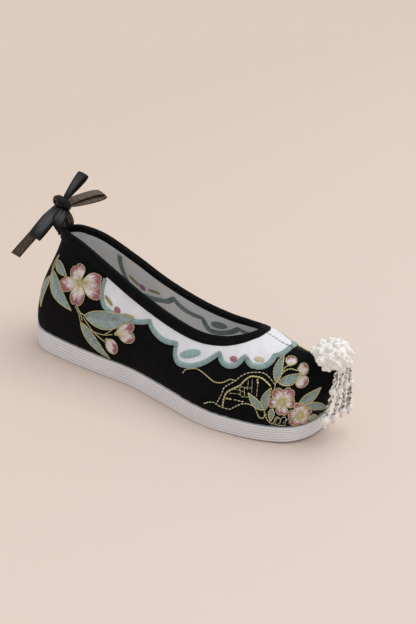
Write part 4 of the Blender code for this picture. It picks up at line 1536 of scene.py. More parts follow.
def stitch(wires, patch, start, end, colours, radius=FLOSS_RADIUS):
    """One stitch on a patch from start to end, with colours spread evenly along it."""
    span = math.hypot(end[0] - start[0], end[1] - start[1])
    shares = np.linspace(0.0, 1.0, max(3, round(span / STITCH_STEP) + 1))
    along = start[0] + (end[0] - start[0]) * shares
    across = start[1] + (end[1] - start[1]) * shares
    lift = FLOSS_LOW + FLOSS_RISE * np.sqrt(np.sin(math.pi * shares).clip(0.0))
    lift += DICE.uniform(0.0, STITCH_JITTER)
    rows = np.atleast_2d(colours)
    spread_out = at_lengths(rows, np.linspace(0.0, 1.0, len(rows)), shares)
    wires.add(patch.lay(along, across, lift), spread_out, radius)


def outline(cords, patch, along, across, radius=CORD_RADIUS):
    """A gold cord along a line on a patch."""
    cords.add(patch.lay(along, across, OUTLINE_LIFT), tint(GOLD, GOLD_SPREAD), radius)


print("height of the floss in mm", round(FLOSS_TOP + FLOSS_RADIUS, 2))

# %% Leaves
SAGE = (0.34, 0.435, 0.42)
LEAF_FROM, LEAF_TO, LEAF_END = 0.03, 0.97, 0.985
LEAF_FULL, LEAF_ROUND = 0.76, 0.95
LEAF_SLANT = 0.7
LEAF_SHADES = (0.88, 1.1)
LEAF_HALVES = {-1: 0.92, 1: 1.06}
LEAF_SPREAD = 0.24
LEAF_INSIDE = 0.95
LEAF_POINTS = 12


def leaf_belly(share):
    """Half the width of a leaf of unit width, from base 0 to tip 1."""
    return 0.5 * math.sin(math.pi * min(1.0, max(0.0, share)) ** LEAF_FULL) ** LEAF_ROUND


def sew_leaf(wires, cords, side, leaf):
    patch = Patch(side, leaf.base, leaf.tip)
    length = patch.length

    def edge(share, half):
        bent = leaf.bend * math.sin(math.pi * share)
        return share * length, bent + half * leaf.width * leaf_belly(share)

    shade = DICE.uniform(*LEAF_SHADES)
    for half, light in LEAF_HALVES.items():
        for share in np.arange(LEAF_FROM, LEAF_TO, FLOSS_PITCH / length):
            end_share = min(LEAF_END, share + LEAF_SLANT * leaf.width * leaf_belly(share) / length)
            colour = tint(SAGE, LEAF_SPREAD) * shade * light
            stitch(wires, patch, edge(share, 0), edge(end_share, half * LEAF_INSIDE), colour)
    shares = np.linspace(0.0, 1.0, max(LEAF_POINTS, round(length / STITCH_STEP)))
    for half in LEAF_HALVES:
        outline(cords, patch, *np.transpose([edge(share, half) for share in shares]))


print("fullest half of a leaf", round(max(leaf_belly(step / 20) for step in range(21)), 2))

# %% Petals and flowers
PETAL_WHITE = (0.90, 0.83, 0.82)
ROSE_DEEP = (0.36, 0.105, 0.14)
WHITE_SPREAD, ROSE_SPREAD = 0.06, 0.18
ROSE_SHARE = 0.6
BLUSH_STEPS = 9
BLUSH_OFF = 0.5
SPLIT_LOW, SPLIT_SIDES, SPLIT_JITTER = 0.64, 0.26, 0.16
PETAL_TURN = math.radians(142)
PETAL_MIDDLE = 0.6
NOTCH_DEPTH, NOTCH_WIDTH = 0.10, 0.22
PETAL_GIRTH = 2.2
PETAL_TAPER = 0.8
PETAL_FILL = 0.55714
LONG_STARTS, SHORT_STARTS = (0.10, 0.18), (0.35, 0.55)
PETAL_FOOT = 0.02
PETAL_INSIDE = (0.985, 0.97)
RIM_STEP, RIM_POINTS = 1.4, 16
RIM_FOOT, RIM_OPEN = 0.08, 0.05
RIM_CORD = 0.85
STAMEN_TURNS = (-0.34, -0.1, 0.12, 0.32)
STAMEN_REACH = (0.3, 0.52)
STAMEN_STEPS = 8
STAMEN_LIFT = FLOSS_TOP + 0.35
STAMEN_RADIUS = 0.3
STAMEN_SPREAD = 0.12
TIP_RADII = (0.35, 0.55, 0.35)
TIP_HALF, TIP_RISE, TIP_SPREAD = 0.5, 0.1, 0.1


def petal_rim(length, width, angle):
    """The rim of a petal that starts at 0 and ends at length, by the angle from its forward axis."""
    notch = 1 - NOTCH_DEPTH * math.exp(-((angle / NOTCH_WIDTH) ** 2))
    reach = PETAL_MIDDLE + (1 - PETAL_MIDDLE) * math.cos(angle)
    return length * reach * notch, 0.5 * width * math.sin(angle)


def blush(split, steps):
    """Colours at steps along a stitch, which turn from white to rose at split."""
    white = tint(PETAL_WHITE, WHITE_SPREAD)
    rose = tint(ROSE if DICE.random() < ROSE_SHARE else ROSE_DEEP, ROSE_SPREAD)
    return np.array([rose if step > split else white for step in steps])


def sew_petal(wires, patch, width):
    """Long and short stitches by turns, all from the petal's foot out to its rim."""
    length = patch.length
    count = round(PETAL_FILL * PETAL_GIRTH * (PETAL_TAPER * length + width) / FLOSS_PITCH)
    middle = DICE.uniform(-BLUSH_OFF, BLUSH_OFF)
    for number, angle in enumerate(np.linspace(-PETAL_TURN, PETAL_TURN, count)):
        along, across = petal_rim(length, width, angle)
        start = DICE.uniform(*(LONG_STARTS if number % 2 else SHORT_STARTS))
        foot = (along * start + PETAL_FOOT * length, across * start)
        split = SPLIT_LOW + SPLIT_SIDES * abs(angle - middle) / PETAL_TURN
        split += DICE.uniform(-SPLIT_JITTER, SPLIT_JITTER)
        colours = blush(split, np.linspace(start, 1.0, BLUSH_STEPS))
        stitch(wires, patch, foot, np.multiply(PETAL_INSIDE, (along, across)), colours)


def petal_outline(cords, patch, width):
    length = patch.length
    points = max(RIM_POINTS, round(PETAL_GIRTH * (length + width) / RIM_STEP))
    rim = [petal_rim(length, width, angle) for angle in np.linspace(-PETAL_TURN, PETAL_TURN, points)]
    foot, half = RIM_FOOT * length, RIM_OPEN * width
    outline(cords, patch, *np.transpose([(foot, -half), *rim, (foot, half)]), RIM_CORD * CORD_RADIUS)


def sew_flower(wires, cords, side, flower):
    patches = [Patch(side, flower.centre, petal.tip) for petal in flower.petals]
    for patch, petal in zip(patches, flower.petals):
        sew_petal(wires, patch, petal.width)
    for patch, petal in zip(patches, flower.petals):
        petal_outline(cords, patch, petal.width)
        for turn in STAMEN_TURNS:
            reach = patch.length * DICE.uniform(*STAMEN_REACH)
            steps = np.linspace(0.0, reach, STAMEN_STEPS)
            line = patch.lay(steps * math.cos(turn), steps * math.sin(turn), STAMEN_LIFT)
            cords.add(line, tint(GOLD, STAMEN_SPREAD), STAMEN_RADIUS)
            steps = np.linspace(reach - TIP_HALF, reach + TIP_HALF, len(TIP_RADII))
            tip = patch.lay(steps * math.cos(turn), steps * math.sin(turn), STAMEN_LIFT + TIP_RISE)
            cords.add(tip, tint(GOLD_PALE, TIP_SPREAD), TIP_RADII)


print("degrees that a petal's rim turns through", round(math.degrees(2 * PETAL_TURN)))

# %% Buds and spots
BUD_MIDDLE, BUD_HALF, BUD_RIM = 0.54, 0.46, 0.47
BUD_FILL, BUD_SIDES = 1.15, 0.96
BUD_SPLIT, BUD_WAVE, BUD_TURN, BUD_JITTER = 0.66, 0.2, 3, 0.12
BUD_POINTS = 22
BUD_CORD = 0.8
SEPAL_LEANS = (-0.34, 0.0, 0.34)
SEPAL_FROM, SEPAL_TO, SEPAL_STEPS = -0.03, 0.38, 6
SEPAL_NEAR, SEPAL_CURVE = 0.1, 0.8
SEPAL_RADII = (1.1, 0.4)
SEPAL_LIFT = FLOSS_TOP + 0.25
SEPAL_SPREAD = 0.1
SPOT_FROM, SPOT_TO = 0.03, 0.98
SPOT_PITCH, SPOT_SLANT, SPOT_RADIUS, SPOT_SPREAD = 0.42, 0.2, 0.28, 0.12


def sew_bud(wires, cords, side, bud):
    patch = Patch(side, bud.base, bud.tip)
    length = patch.length
    middle = BUD_MIDDLE * length
    for spot in np.linspace(-BUD_SIDES, BUD_SIDES, round(bud.width / FLOSS_PITCH * BUD_FILL)):
        half = BUD_HALF * length * math.sqrt(1 - spot**2)
        across = 0.5 * bud.width * spot
        split = BUD_SPLIT + BUD_WAVE * math.sin(BUD_TURN * spot + length)
        split += DICE.uniform(-BUD_JITTER, BUD_JITTER)
        colours = blush(split, np.linspace(0.0, 1.0, BLUSH_STEPS))
        stitch(wires, patch, (middle - half, across), (middle + half, across), colours)
    angles = np.linspace(-math.pi, math.pi, BUD_POINTS)
    along, across = middle + BUD_RIM * length * np.cos(angles), 0.5 * bud.width * np.sin(angles)
    outline(cords, patch, along, across, BUD_CORD * CORD_RADIUS)
    for lean in SEPAL_LEANS:
        along = np.linspace(SEPAL_FROM * length, SEPAL_TO * length, SEPAL_STEPS)
        across = lean * bud.width * np.linspace(SEPAL_NEAR, 1.0, SEPAL_STEPS) ** SEPAL_CURVE
        radii = np.linspace(*SEPAL_RADII, SEPAL_STEPS) * CORD_RADIUS
        cords.add(patch.lay(along, across, SEPAL_LIFT), tint(GOLD, SEPAL_SPREAD), radii)


def sew_spot(wires, side, spot, inside=False):
    """A small rounded shape, filled straight across, on the panel or where it shows on the lining."""
    patch = Patch(side, spot.base, spot.tip, inside)
    for share in np.arange(SPOT_FROM, SPOT_TO, SPOT_PITCH / patch.length):
        half = 0.5 * spot.width * math.sqrt(max(0.0, 1 - (2 * share - 1) ** 2))
        along = share * patch.length
        start, end = (along - SPOT_SLANT, -half), (along + SPOT_SLANT, half)
        stitch(wires, patch, start, end, tint(spot.colour, SPOT_SPREAD), SPOT_RADIUS)


print("stitches in the first bud", round(HEEL_BUDS[0].width / FLOSS_PITCH * BUD_FILL))

# %% Gold cords along drawn lines
LINE_RADIUS = {"cord": 0.46, "thick": 0.72, "thin": 0.26, "rope": 0.44, "beads": 0.5}
LINE_STEP = 0.5
DRAWN_STEPS = 6
DASH_STEPS = {"thin": (5, 6), "rope": (4, 5), "beads": (2, 3)}
DASH_END = 0.25
DASH_LOW, DASH_RISE = 0.1, 0.35
DASH_THIN, DASH_SWELL = 0.45, 0.55


def sew_line(cords, side, line):
    """A couched cord, or the separate slanting stitches of a rope, along one drawn line."""
    drawn = smooth_path(line.points, DRAWN_STEPS) if len(line.points) > 2 else np.array(line.points)
    flat = np.array([NETS[side].at(*place) for place in drawn])
    path = even_path(flat, LINE_STEP)
    radius = LINE_RADIUS[line.style]
    if line.style in ("cord", "thick"):
        cords.add(drape(path, CORD_LIFT), tint(GOLD, GOLD_SPREAD), radius)
        return
    dash, step = DASH_STEPS[line.style]
    for first in range(0, len(path) - 2, step):
        part = path[first : first + dash + 1]
        if len(part) < 3:
            continue
        bulge = np.sin(np.linspace(DASH_END, math.pi - DASH_END, len(part)))
        raised = drape(part, DASH_LOW + DASH_RISE * bulge)
        cords.add(raised, tint(GOLD_PALE, GOLD_SPREAD), radius * (DASH_THIN + DASH_SWELL * bulge))


print("styles of line", list(LINE_RADIUS))

# %% Sew both sides
def sew_motif(wires, cords, side, leaves, flowers, buds, lines):
    for line in lines:
        sew_line(cords, side, line)
    for leaf in leaves:
        sew_leaf(wires, cords, side, leaf)
    for bud in buds:
        sew_bud(wires, cords, side, bud)
    for flower in flowers:
        sew_flower(wires, cords, side, flower)


REVERSE_SHARES = (-0.1, 0.5, 1.1)
REVERSE_ARCH, REVERSE_FOOT = 0.22, 0.12
REVERSE_SPACING = 1.5 * STITCH_SPACING
REVERSE_RADIUS = 1.35 * STITCH_RADIUS
REVERSE_SPREAD = 0.16
REVERSE_WIDER = 1.35
SEAM_GREY = (0.20, 0.20, 0.215)
SEAM_FROM_X, SEAM_TO_X, SEAM_STEP = 75.0, 96.0, 2.4
SEAM_ABOVE = 70.0
SEAM_LIFTS = (0.02, 0.16, 0.16, 0.02)
SEAM_RADIUS = 0.2
SEAM_SPREAD = 0.2
SeamRow = namedtuple("SeamRow", "away dash")
SEAM_ROWS = (SeamRow(0.9, 1.6), SeamRow(2.1, 1.1))


def sew_reverse(wires, side):
    """The panel's stitches where they come through the lining."""
    shape = REVERSE_SHARES, REVERSE_ARCH, REVERSE_FOOT
    for row in border_rows(side, REVERSE_SPACING, *shape, LINING_FACE, -1.0):
        wires.add(row, tint(TEAL_REVERSE, REVERSE_SPREAD), REVERSE_RADIUS)
    for spot in PANEL_SPOTS[side]:
        dull = TEAL_REVERSE if spot.colour == TEAL_SPOT else spot.colour
        wide = spot._replace(colour=dull, width=REVERSE_WIDER * spot.width)
        sew_spot(wires, side, wide, inside=True)


def sew_seam(wires, side):
    """Small stitches beside the seam of the two panels along the crest."""
    for row in SEAM_ROWS:
        for x in np.arange(SEAM_FROM_X, SEAM_TO_X, SEAM_STEP):
            steps = np.linspace(x, x + row.dash, len(SEAM_LIFTS))
            place = [(step, swing(step) + side * row.away, SEAM_ABOVE) for step in steps]
            wires.add(drape(place, SEAM_LIFTS), tint(SEAM_GREY, SEAM_SPREAD), SEAM_RADIUS)


for side, name in SIDES:
    floss_wires, cord_wires = Wires(), Wires()
    sew_reverse(floss_wires, side)
    sew_seam(floss_wires, side)
    sew_motif(floss_wires, cord_wires, side, TOE_LEAVES, TOE_FLOWERS, TOE_BUDS, TOE_LINES)
    for spot in PANEL_SPOTS[side]:
        sew_spot(floss_wires, side, spot)
    if side == OUTER:
        sew_motif(floss_wires, cord_wires, side, HEEL_LEAVES, HEEL_FLOWERS, HEEL_BUDS, HEEL_LINES)
    dress(floss_wires.sew(f"floss_{name}", FLOSS), "teal_thread")
    gold = cord_wires.sew(f"gold_{name}", GOLD_CORD, sides=6, flatness=0.5, spacing=0.4, turns=2.4)
    dress(gold, "teal_thread")

# %% [markdown]
# ## The ribbon bow
# The bow is tied from a ribbon that is black on one side and woven with bronze thread on the
# other. Each stretch of it is a strip close to its solid, bent and rolled as the real one lies. A
# flat strip looks like paper, so the strip is cupped a little across, drawn into pleats where the
# knot pinches it, and has fine ribs along its length. The knot is the same ribbon wrapped round the
# others.

# %% Routes and strips of the ribbon
# start, end: from the knot's centre in mm. face: the way that the ribbon looks. turn: degrees by
# which it is rolled about its own length. belly: how far it bows out. pinch: share of its width
# that is left at the knot. folds: how deep its pleats stay all along. lean: how far a cut end is
# askew, or a loop's two legs lie to either side
Ribbon = namedtuple("Ribbon", "name looped start end face turn belly width pinch folds lean finish")
CAMERA_WARD = (0.54, -0.71, 0.45)
RIBBONS = (
    Ribbon(
        "bow_loop_outer", True, (-0.4, -1.6, -1.2), (-4.4, -26.0, -19.4), CAMERA_WARD,
        8, 3.6, 9.2, 0.68, 0.16, 0.0, "black",
    ),
    Ribbon(
        "bow_flap_outer", False, (4.4, -0.8, -1.8), (2.2, -11.6, -14.6), (0.62, -0.70, 0.35),
        -6, 3.4, 8.8, 0.62, 0.05, -2.6, "black",
    ),
    Ribbon(
        "bow_tail_outer", False, (-5.5, 2.0, -5.0), (-15.0, -36.4, -33.0), CAMERA_WARD,
        8, 1.4, 7.4, 0.6, 0.0, 0.6, "bronze",
    ),
    Ribbon(
        "bow_loop_inner", True, (0.4, 1.6, -1.4), (9.4, 34.6, -0.4), (0.19, -0.24, 0.95),
        -6, 1.2, 9.0, 0.9, 0.1, -3.7, "bronze",
    ),
    Ribbon(
        "bow_loop_upper", True, (0.6, 2.4, 2.2), (4.4, 20.4, 18.4), CAMERA_WARD,
        -30, 2.6, 8.6, 0.36, 0.15, 0.0, "black",
    ),
)
KNOT_CENTRE = np.array((-110.6, 0.0, 109.0))
TEARDROP_START = 0.5
LOOP_BLUNT = 0.6
LOOP_OPEN = 0.75
RIBBON_WIDTH = 9.0
RIBBON_OPEN = 0.7
RIBBON_STEPS = 72
RIBBON_THICK = 0.45
ACROSS = np.linspace(-1.0, 1.0, 15)
PLEATS = 2.5
PLEAT_DEPTH = 0.8
CUP_DEPTH, CUP_LEVEL = 0.4, 0.33
WOVEN_EDGE = 0.85
LEAN_FROM = 0.6
# painted sheen: how it gathers on the crest of a loop or the belly of a strip, and how much weaker it is
# at the ribbon's edges
SHEEN_POWER = 2.5
SHEEN_EDGE = 0.6


def rolled_face(row):
    """The way that a ribbon looks, rolled about the line from its start to its end."""
    along, face = unit(np.subtract(row.end, row.start)), unit(row.face)
    face = unit(face - along * (face @ along))
    roll = math.radians(row.turn)
    return face * math.cos(roll) + np.cross(along, face) * math.sin(roll)


def ribbon_path(row):
    """Points along a ribbon's middle, with how far each is on the way and its share of painted sheen on a
    crest.
    """
    start, end, face = np.array(row.start), np.array(row.end), rolled_face(row)
    beside = unit(np.cross(end - start, face)) * (row.lean if row.looped else 0.0)
    path, shares, crest_sheen = [], [], []
    for step in range(RIBBON_STEPS + 1):
        share = step / RIBBON_STEPS
        swell = crest = math.sin(math.pi * share)
        if row.looped:
            turn = TEARDROP_START + (2 * math.pi - 2 * TEARDROP_START) * share
            share, crest = (1 - math.cos(turn)) / 2, math.sin(turn)
            swell = math.copysign(abs(math.sin(turn)) ** LOOP_BLUNT, math.sin(turn))
            swell *= math.sin(turn / 2) ** LOOP_OPEN
        out = (face * row.belly + beside) * swell
        path.append(KNOT_CENTRE + start + (end - start) * share + out)
        shares.append(share)
        crest_sheen.append(max(crest, 0.0) ** SHEEN_POWER)
    return np.array(path), np.array(shares), np.array(crest_sheen)


def strip_mesh(name, path, across, widths, pleats, lean=0.0, mark=None, rubbed=None):
    """A cupped and pleated strip along a path. Its woven edges are marked, or what mark says."""
    tangents = np.gradient(path, axis=0)
    far = lengths_along(path)
    points, cloth, edges = [], [], []
    rubbed = np.zeros(len(path)) if rubbed is None else rubbed
    end_lean = lean * np.clip((far / far[-1] - LEAN_FROM) / (1 - LEAN_FROM), 0.0, 1.0)
    for place, tangent, width, pleat, along, askew in zip(path, tangents, widths, pleats, far, end_lean):
        normal = unit(np.cross(tangent, across))
        ahead = unit(tangent)
        for column in ACROSS:
            fold = PLEAT_DEPTH * pleat * math.sin(PLEATS * math.pi * column)
            cup = CUP_DEPTH * (column**2 - CUP_LEVEL) * (1 - pleat)
            sideways = across * column * width / 2 + ahead * askew * column
            points.append(place + sideways + normal * (fold + cup))
            cloth.append((along, column * RIBBON_WIDTH / 2))
            marked = abs(column) > WOVEN_EDGE if mark is None else mark(along / far[-1], column)
            edges.append(1.0 if marked else 0.0)
    mesh = mesh_from(name, points, grid_faces(len(path), len(ACROSS)), cloth)
    # painted sheen: each point's share of the grey highlight, weaker towards the edges
    return mark_points(mesh, edge=edges, rub=np.outer(rubbed, 1 - SHEEN_EDGE * ACROSS**2).ravel())


print("stretches of ribbon", len(RIBBONS))

# %% Finishes of the ribbon
RIBBON_BLACK = (0.0015, 0.0015, 0.0018)
# painted highlight: the grey painted on the black ribbon where it bows out
RIBBON_SHEEN_GREY = (0.175, 0.175, 0.192)
BRONZE_DARK = (0.010, 0.008, 0.007)
BRONZE_LIGHT = (0.26, 0.185, 0.135)
RIBS = 1600


def ribbon_finish(name, body, edge):
    """Ribbed ribbon: body and edge draw the colours of its middle and of its marked edges."""
    material, tree, shader = new_material(name, 0.36, Specular_IOR_Level=0.24)
    edge_colour = edge if isinstance(edge, tuple) else edge(tree, shader)
    paint(tree, shader, mix_colours(tree, attribute(tree, "edge"), body(tree, shader), edge_colour))
    split = put(tree, "ShaderNodeSeparateXYZ", Vector=cloth_place(tree))
    ribs = maths(tree, "SINE", maths(tree, "MULTIPLY", split.outputs["Y"], 2 * math.pi * RIBS))
    relief(tree, shader, ribs, 0.12, 0.6)
    return material


def black_body(tree, shader):
    """Black with a painted highlight: grey streaks painted where the ribbon bows out."""
    share = maths(tree, "MULTIPLY", attribute(tree, "rub"), streaks(tree, 60.0, 420.0, 2.0))
    return mix_colours(tree, share, RIBBON_BLACK, RIBBON_SHEEN_GREY)


def bronze_body(tree, shader):
    """Metal thread that glints in short dashes along the ribbon."""
    glint = spread(tree, streaks(tree, 700.0, 2600.0, 2.0), 0.42, 0.66)
    feed(tree, shader.inputs["Metallic"], glint)
    return mix_colours(tree, glint, BRONZE_DARK, BRONZE_LIGHT)


RIBBON_FINISH = {
    "black": ribbon_finish("ribbon_black", black_body, (0.010, 0.010, 0.011)),
    "bronze": ribbon_finish("ribbon_bronze", bronze_body, (0.012, 0.010, 0.009)),
}
STRAP_FINISH = ribbon_finish("strap_black", black_body, bronze_body)
print("ribbons", list(RIBBON_FINISH), "strap", STRAP_FINISH.name)

# %% Loops, flap and tail
strips, strip_paths = {}, {}
for row in RIBBONS:
    path, shares, crest_sheen = ribbon_path(row)
    across = unit(np.cross(np.subtract(row.end, row.start), rolled_face(row)))
    opened = np.minimum(1.0, row.pinch + RIBBON_OPEN * shares)
    widths = row.width * opened
    pleats = np.clip((1 - opened) / (1 - row.pinch), row.folds, 1.0)
    lean = 0.0 if row.looped else row.lean
    mesh = strip_mesh(f"{row.name}_strip", path, across, widths, pleats, lean, None, crest_sheen)
    strip = thicken(add_piece(mesh, RIBBON_FINISH[row.finish]), RIBBON_THICK, 0.0)
    strips[row.name], strip_paths[row.name] = dress(strip, f"ribbon_{row.finish}", row.name), path
    print(row.name, "length in mm", round(lengths_along(path)[-1], 1), "width", row.width)

# %% Knot and strap
KNOT_RING = (6.2, 5.4)
KNOT_HALF_WIDTH = 3.0
KNOT_THICK = 1.9
KNOT_CORE = (4.6, 4.8, 4.8)
RING_ROUNDS, RING_COLUMNS = 48, 20
RING_WANDER, WANDER_TURN = 0.9, 0.6
RING_SQUEEZE = 0.2
RING_PLEAT, RING_PLEATS = 0.28, 4
TIE_CENTRE = np.array((-108.4, 0.0, 99.6))
TIE_AXIS = np.array((1.0, 0.0, 0.2))
TIE_RING = (3.6, 6.4)
TIE_HALF_WIDTH = 2.8
TIE_THICK = 1.3
TIE_CORE = (2.2, 3.2, 5.8)
STRAP_THICK = 1.2
STRAP_WIDTH = 6.0
BANDS_FROM = 0.5
BAND_LOW, BAND_HIGH = 0.15, 0.75
StrapPoint = namedtuple("StrapPoint", "x z")
STRAP_PATH = (
    StrapPoint(-113.4, 84.0),
    StrapPoint(-112.8, 92.0),
    StrapPoint(-111.6, 99.0),
    StrapPoint(-109.0, 102.4),
    StrapPoint(-105.4, 101.0),
    StrapPoint(-103.2, 96.8),
    StrapPoint(-103.4, 93.4),
)


def ring_mesh(name, centre, axis, radii, half_width, thick):
    """A band of ribbon wrapped once round an axis, with pleats along it."""
    first = unit(np.cross(axis, UP))
    second = np.cross(axis, first)
    points, cloth = [], []
    for step in range(RING_ROUNDS):
        turn = 2 * math.pi * step / RING_ROUNDS
        radial = first * math.cos(turn) + second * math.sin(turn)
        middle = centre + first * math.cos(turn) * radii[0] + second * math.sin(turn) * radii[1]
        middle = middle + axis * RING_WANDER * math.sin(turn + WANDER_TURN)
        squeeze = 1 - RING_SQUEEZE * math.sin(turn) ** 2
        for column in range(RING_COLUMNS):
            angle = 2 * math.pi * column / RING_COLUMNS
            out = (thick + RING_PLEAT * math.sin(RING_PLEATS * angle)) * math.sin(angle)
            points.append(middle + axis * half_width * squeeze * math.cos(angle) + radial * out)
            cloth.append((turn * radii[0], half_width * math.cos(angle)))
    return mesh_from(name, points, grid_faces(RING_ROUNDS, RING_COLUMNS, wrap=True, closed=True), cloth)


def ball_mesh(name, centre, radii, segments, rings):
    """A round or squashed ball."""
    form = bmesh.new()
    bmesh.ops.create_uvsphere(form, u_segments=segments, v_segments=rings, radius=1.0)
    for vertex in form.verts:
        vertex.co = Vector((np.array(centre) + np.array(vertex.co) * np.array(radii)) * MM)
    mesh = bpy.data.meshes.new(name)
    form.to_mesh(mesh)
    form.free()
    mesh.shade_smooth()
    return mesh


def wrap_ribbon(mesh, finish, *nodes):
    """A piece of the tied bow in one of the ribbon's finishes."""
    return dress(add_piece(mesh, RIBBON_FINISH[finish]), f"ribbon_{finish}", *nodes)


def on_strap(share, column):
    """Where the bronze thread shows on the strap: two bands along its second half."""
    return share > BANDS_FROM and BAND_LOW < abs(column) < BAND_HIGH


by_name = {row.name: row for row in RIBBONS}
KNOT_AXIS = unit(np.subtract(by_name["bow_loop_inner"].end, by_name["bow_loop_outer"].end))
knot_mesh = ring_mesh("bow_knot_wrap", KNOT_CENTRE, KNOT_AXIS, KNOT_RING, KNOT_HALF_WIDTH, KNOT_THICK)
knot = wrap_ribbon(knot_mesh, "black", "bow_knot")
wrap_ribbon(ball_mesh("bow_knot_core", KNOT_CENTRE, KNOT_CORE, 24, 16), "black", "bow_knot")
tie_mesh = ring_mesh("bow_tie_wrap", TIE_CENTRE, unit(TIE_AXIS), TIE_RING, TIE_HALF_WIDTH, TIE_THICK)
wrap_ribbon(tie_mesh, "bronze", "bow_knot", "heel_strap")
wrap_ribbon(ball_mesh("bow_tie_core", TIE_CENTRE, TIE_CORE, 20, 14), "black", "bow_knot", "heel_strap")
strap_path = smooth_path([(point.x, 0.0, point.z) for point in STRAP_PATH], 8)
even_width, no_pleats = [STRAP_WIDTH] * len(strap_path), [0.0] * len(strap_path)
strap_across = np.array((0.0, 1.0, 0.0))
strap_mesh = strip_mesh("heel_strap_strip", strap_path, strap_across, even_width, no_pleats, mark=on_strap)
strap = thicken(add_piece(strap_mesh, STRAP_FINISH), STRAP_THICK, 0.0)
dress(strap, "ribbon_black", "heel_strap")

# %% [markdown]
# The tail and the two long loops are free lengths of ribbon, each with a length and a width of
# its own.

# %% Free lengths of ribbon
FREE_RIBBONS = {"bow_tail_outer": "bare", "bow_loop_outer": "object", "bow_loop_inner": "object"}
for name, far_end in FREE_RIBBONS.items():
    path, width = strip_paths[name] * MM, by_name[name].width * MM
    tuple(path[0])
    lengths_along(path)[-1]
    print(name, "declared as a cord that ends in", far_end)

# %% [markdown]
# ## Beads
# The bunch at the toe is sewn from small clusters, each a ball covered with beads, set close over a
# larger ball. Five strings hang from it, each a twisted pair of glass seed beads with a pearl
# halfway, a larger pearl at the end and a drop under it. Only the places, sizes and tints of the
# beads are worked out here, and a Geometry Nodes tree puts a ball on each. One mesh of lumps would
# be lighter, but the gaps and glints between single beads are what makes it look strung.

# %% Tree that puts a ball on each point
def bead_tree():
    tree, start, end = new_sewing_tree("strung_beads", Segments="Int", Rings="Int")
    ball = put(
        tree, "GeometryNodeMeshUVSphere", Segments=start["Segments"], Rings=start["Rings"], Radius=1.0
    )
    place = put(
        tree, "GeometryNodeInstanceOnPoints", Points=start["Geometry"], Instance=ball.outputs["Mesh"],
        Scale=carried(tree, "bead_radius"),
    )
    return end_tree(tree, start, end, place.outputs[0])


BEAD_TREE = bead_tree()


class Beads:
    """Places of beads in millimetres, with the radius and the tint of each."""

    def __init__(self):
        self.points, self.radii, self.tints = [], [], []

    def add(self, point, radius, bead_tint=1.0):
        self.points.append(point)
        self.radii.append(radius)
        self.tints.append(bead_tint)

    def string(self, name, material, segments=8, rings=6):
        mesh = bpy.data.meshes.new(name)
        mesh.from_pydata((np.array(self.points) * MM).tolist(), [], [])
        mark_points(mesh, bead_radius=np.array(self.radii) * MM, bead_tint=self.tints)
        return run_tree(add_piece(mesh), BEAD_TREE, Segments=segments, Rings=rings, Material=material)


print("tree", BEAD_TREE.name, "nodes", len(BEAD_TREE.nodes))

# %% Finishes of the beads
PEARL_WHITE = (0.93, 0.90, 0.88)
SEED_WHITE = (1.0, 0.97, 0.935)
GLASS_PALE = (0.93, 0.90, 0.86)


def bead_finish(name, colour, roughness, **constants):
    """A bead's colour, darkened by the tint that it carries."""
    material, tree, shader = new_material(name, roughness, **constants)
    scaled_colour(tree, shader, colour, attribute(tree, "bead_tint"))
    return material


PEARL = bead_finish("pearl_white", PEARL_WHITE, 0.22, Coat_Weight=0.5, Coat_Roughness=0.08)
SEED = bead_finish("seed_white", SEED_WHITE, 0.3, Coat_Weight=0.2)
GLASS = bead_finish("glass_seed", GLASS_PALE, 0.12, Metallic=0.25, Coat_Weight=0.6, Coat_Roughness=0.05)
print("beads", PEARL.name, SEED.name, GLASS.name)

# %% Clusters of the bunch
POMPOM_CENTRE = np.array((124.9, 0.9, 60.6))
POMPOM_RADII = np.array((11.3, 11.4, 8.2))
POMPOM_CORE = 1.04
CORE_TINT = 0.96
POMPOM_FACES = unit((0.40, 0.0, 0.92))
POMPOM_BACK = -0.35
CLUSTERS = 34
CLUSTER_BEADS = 9
CLUSTER_CORE = 2.6
CLUSTER_BEAD = 1.5
CLUSTER_SHADES = (0.94, 1.0)
BALL_TINT = 0.97
BEAD_SUNK = (0.74, 0.86)
BEAD_SIZES = (0.9, 1.08)
UPPER_CLEARANCE = 0.9


def even_directions(count):
    """Directions spread evenly over a ball."""
    golden = math.pi * (3 - math.sqrt(5))
    heights = [1 - 2 * (number + 0.5) / count for number in range(count)]
    levels = [math.sqrt(1 - height**2) for height in heights]
    return [
        np.array((level * math.cos(golden * number), level * math.sin(golden * number), height))
        for number, (level, height) in enumerate(zip(levels, heights))
    ]


def clear_of_upper(point):
    place, normal = nearest_on(CLOTH_FACE, point)
    return (point - place) @ normal > UPPER_CLEARANCE


def cluster_beads():
    """Small beads over each cluster's ball, and the balls themselves."""
    small, balls = Beads(), Beads()
    for out in even_directions(CLUSTERS):
        if out @ POMPOM_FACES < POMPOM_BACK:
            continue
        centre = POMPOM_CENTRE + POMPOM_RADII * out
        shade = DICE.uniform(*CLUSTER_SHADES)
        balls.add(centre, CLUSTER_CORE, BALL_TINT * shade)
        spin = DICE.uniform(0.0, 2 * math.pi)
        for x, y, z in even_directions(CLUSTER_BEADS):
            way = np.array((
                x * math.cos(spin) - y * math.sin(spin),
                x * math.sin(spin) + y * math.cos(spin),
                z,
            ))
            spot = centre + way * CLUSTER_CORE * DICE.uniform(*BEAD_SUNK)
            if clear_of_upper(spot):
                small.add(spot, CLUSTER_BEAD * DICE.uniform(*BEAD_SIZES), shade)
    return small, balls


cluster_seeds, cluster_balls = cluster_beads()
dress(cluster_seeds.string("cluster_seeds", SEED, 10, 7), "pearl_white", "bead_pompom")
dress(cluster_balls.string("cluster_balls", SEED, 16, 12), "pearl_white", "bead_pompom")
core_mesh = ball_mesh("pompom_core", POMPOM_CENTRE, POMPOM_RADII * POMPOM_CORE, 32, 20)
mark_points(core_mesh, bead_tint=[CORE_TINT] * len(core_mesh.vertices))
dress(add_piece(core_mesh, SEED), "pearl_white", "bead_pompom")

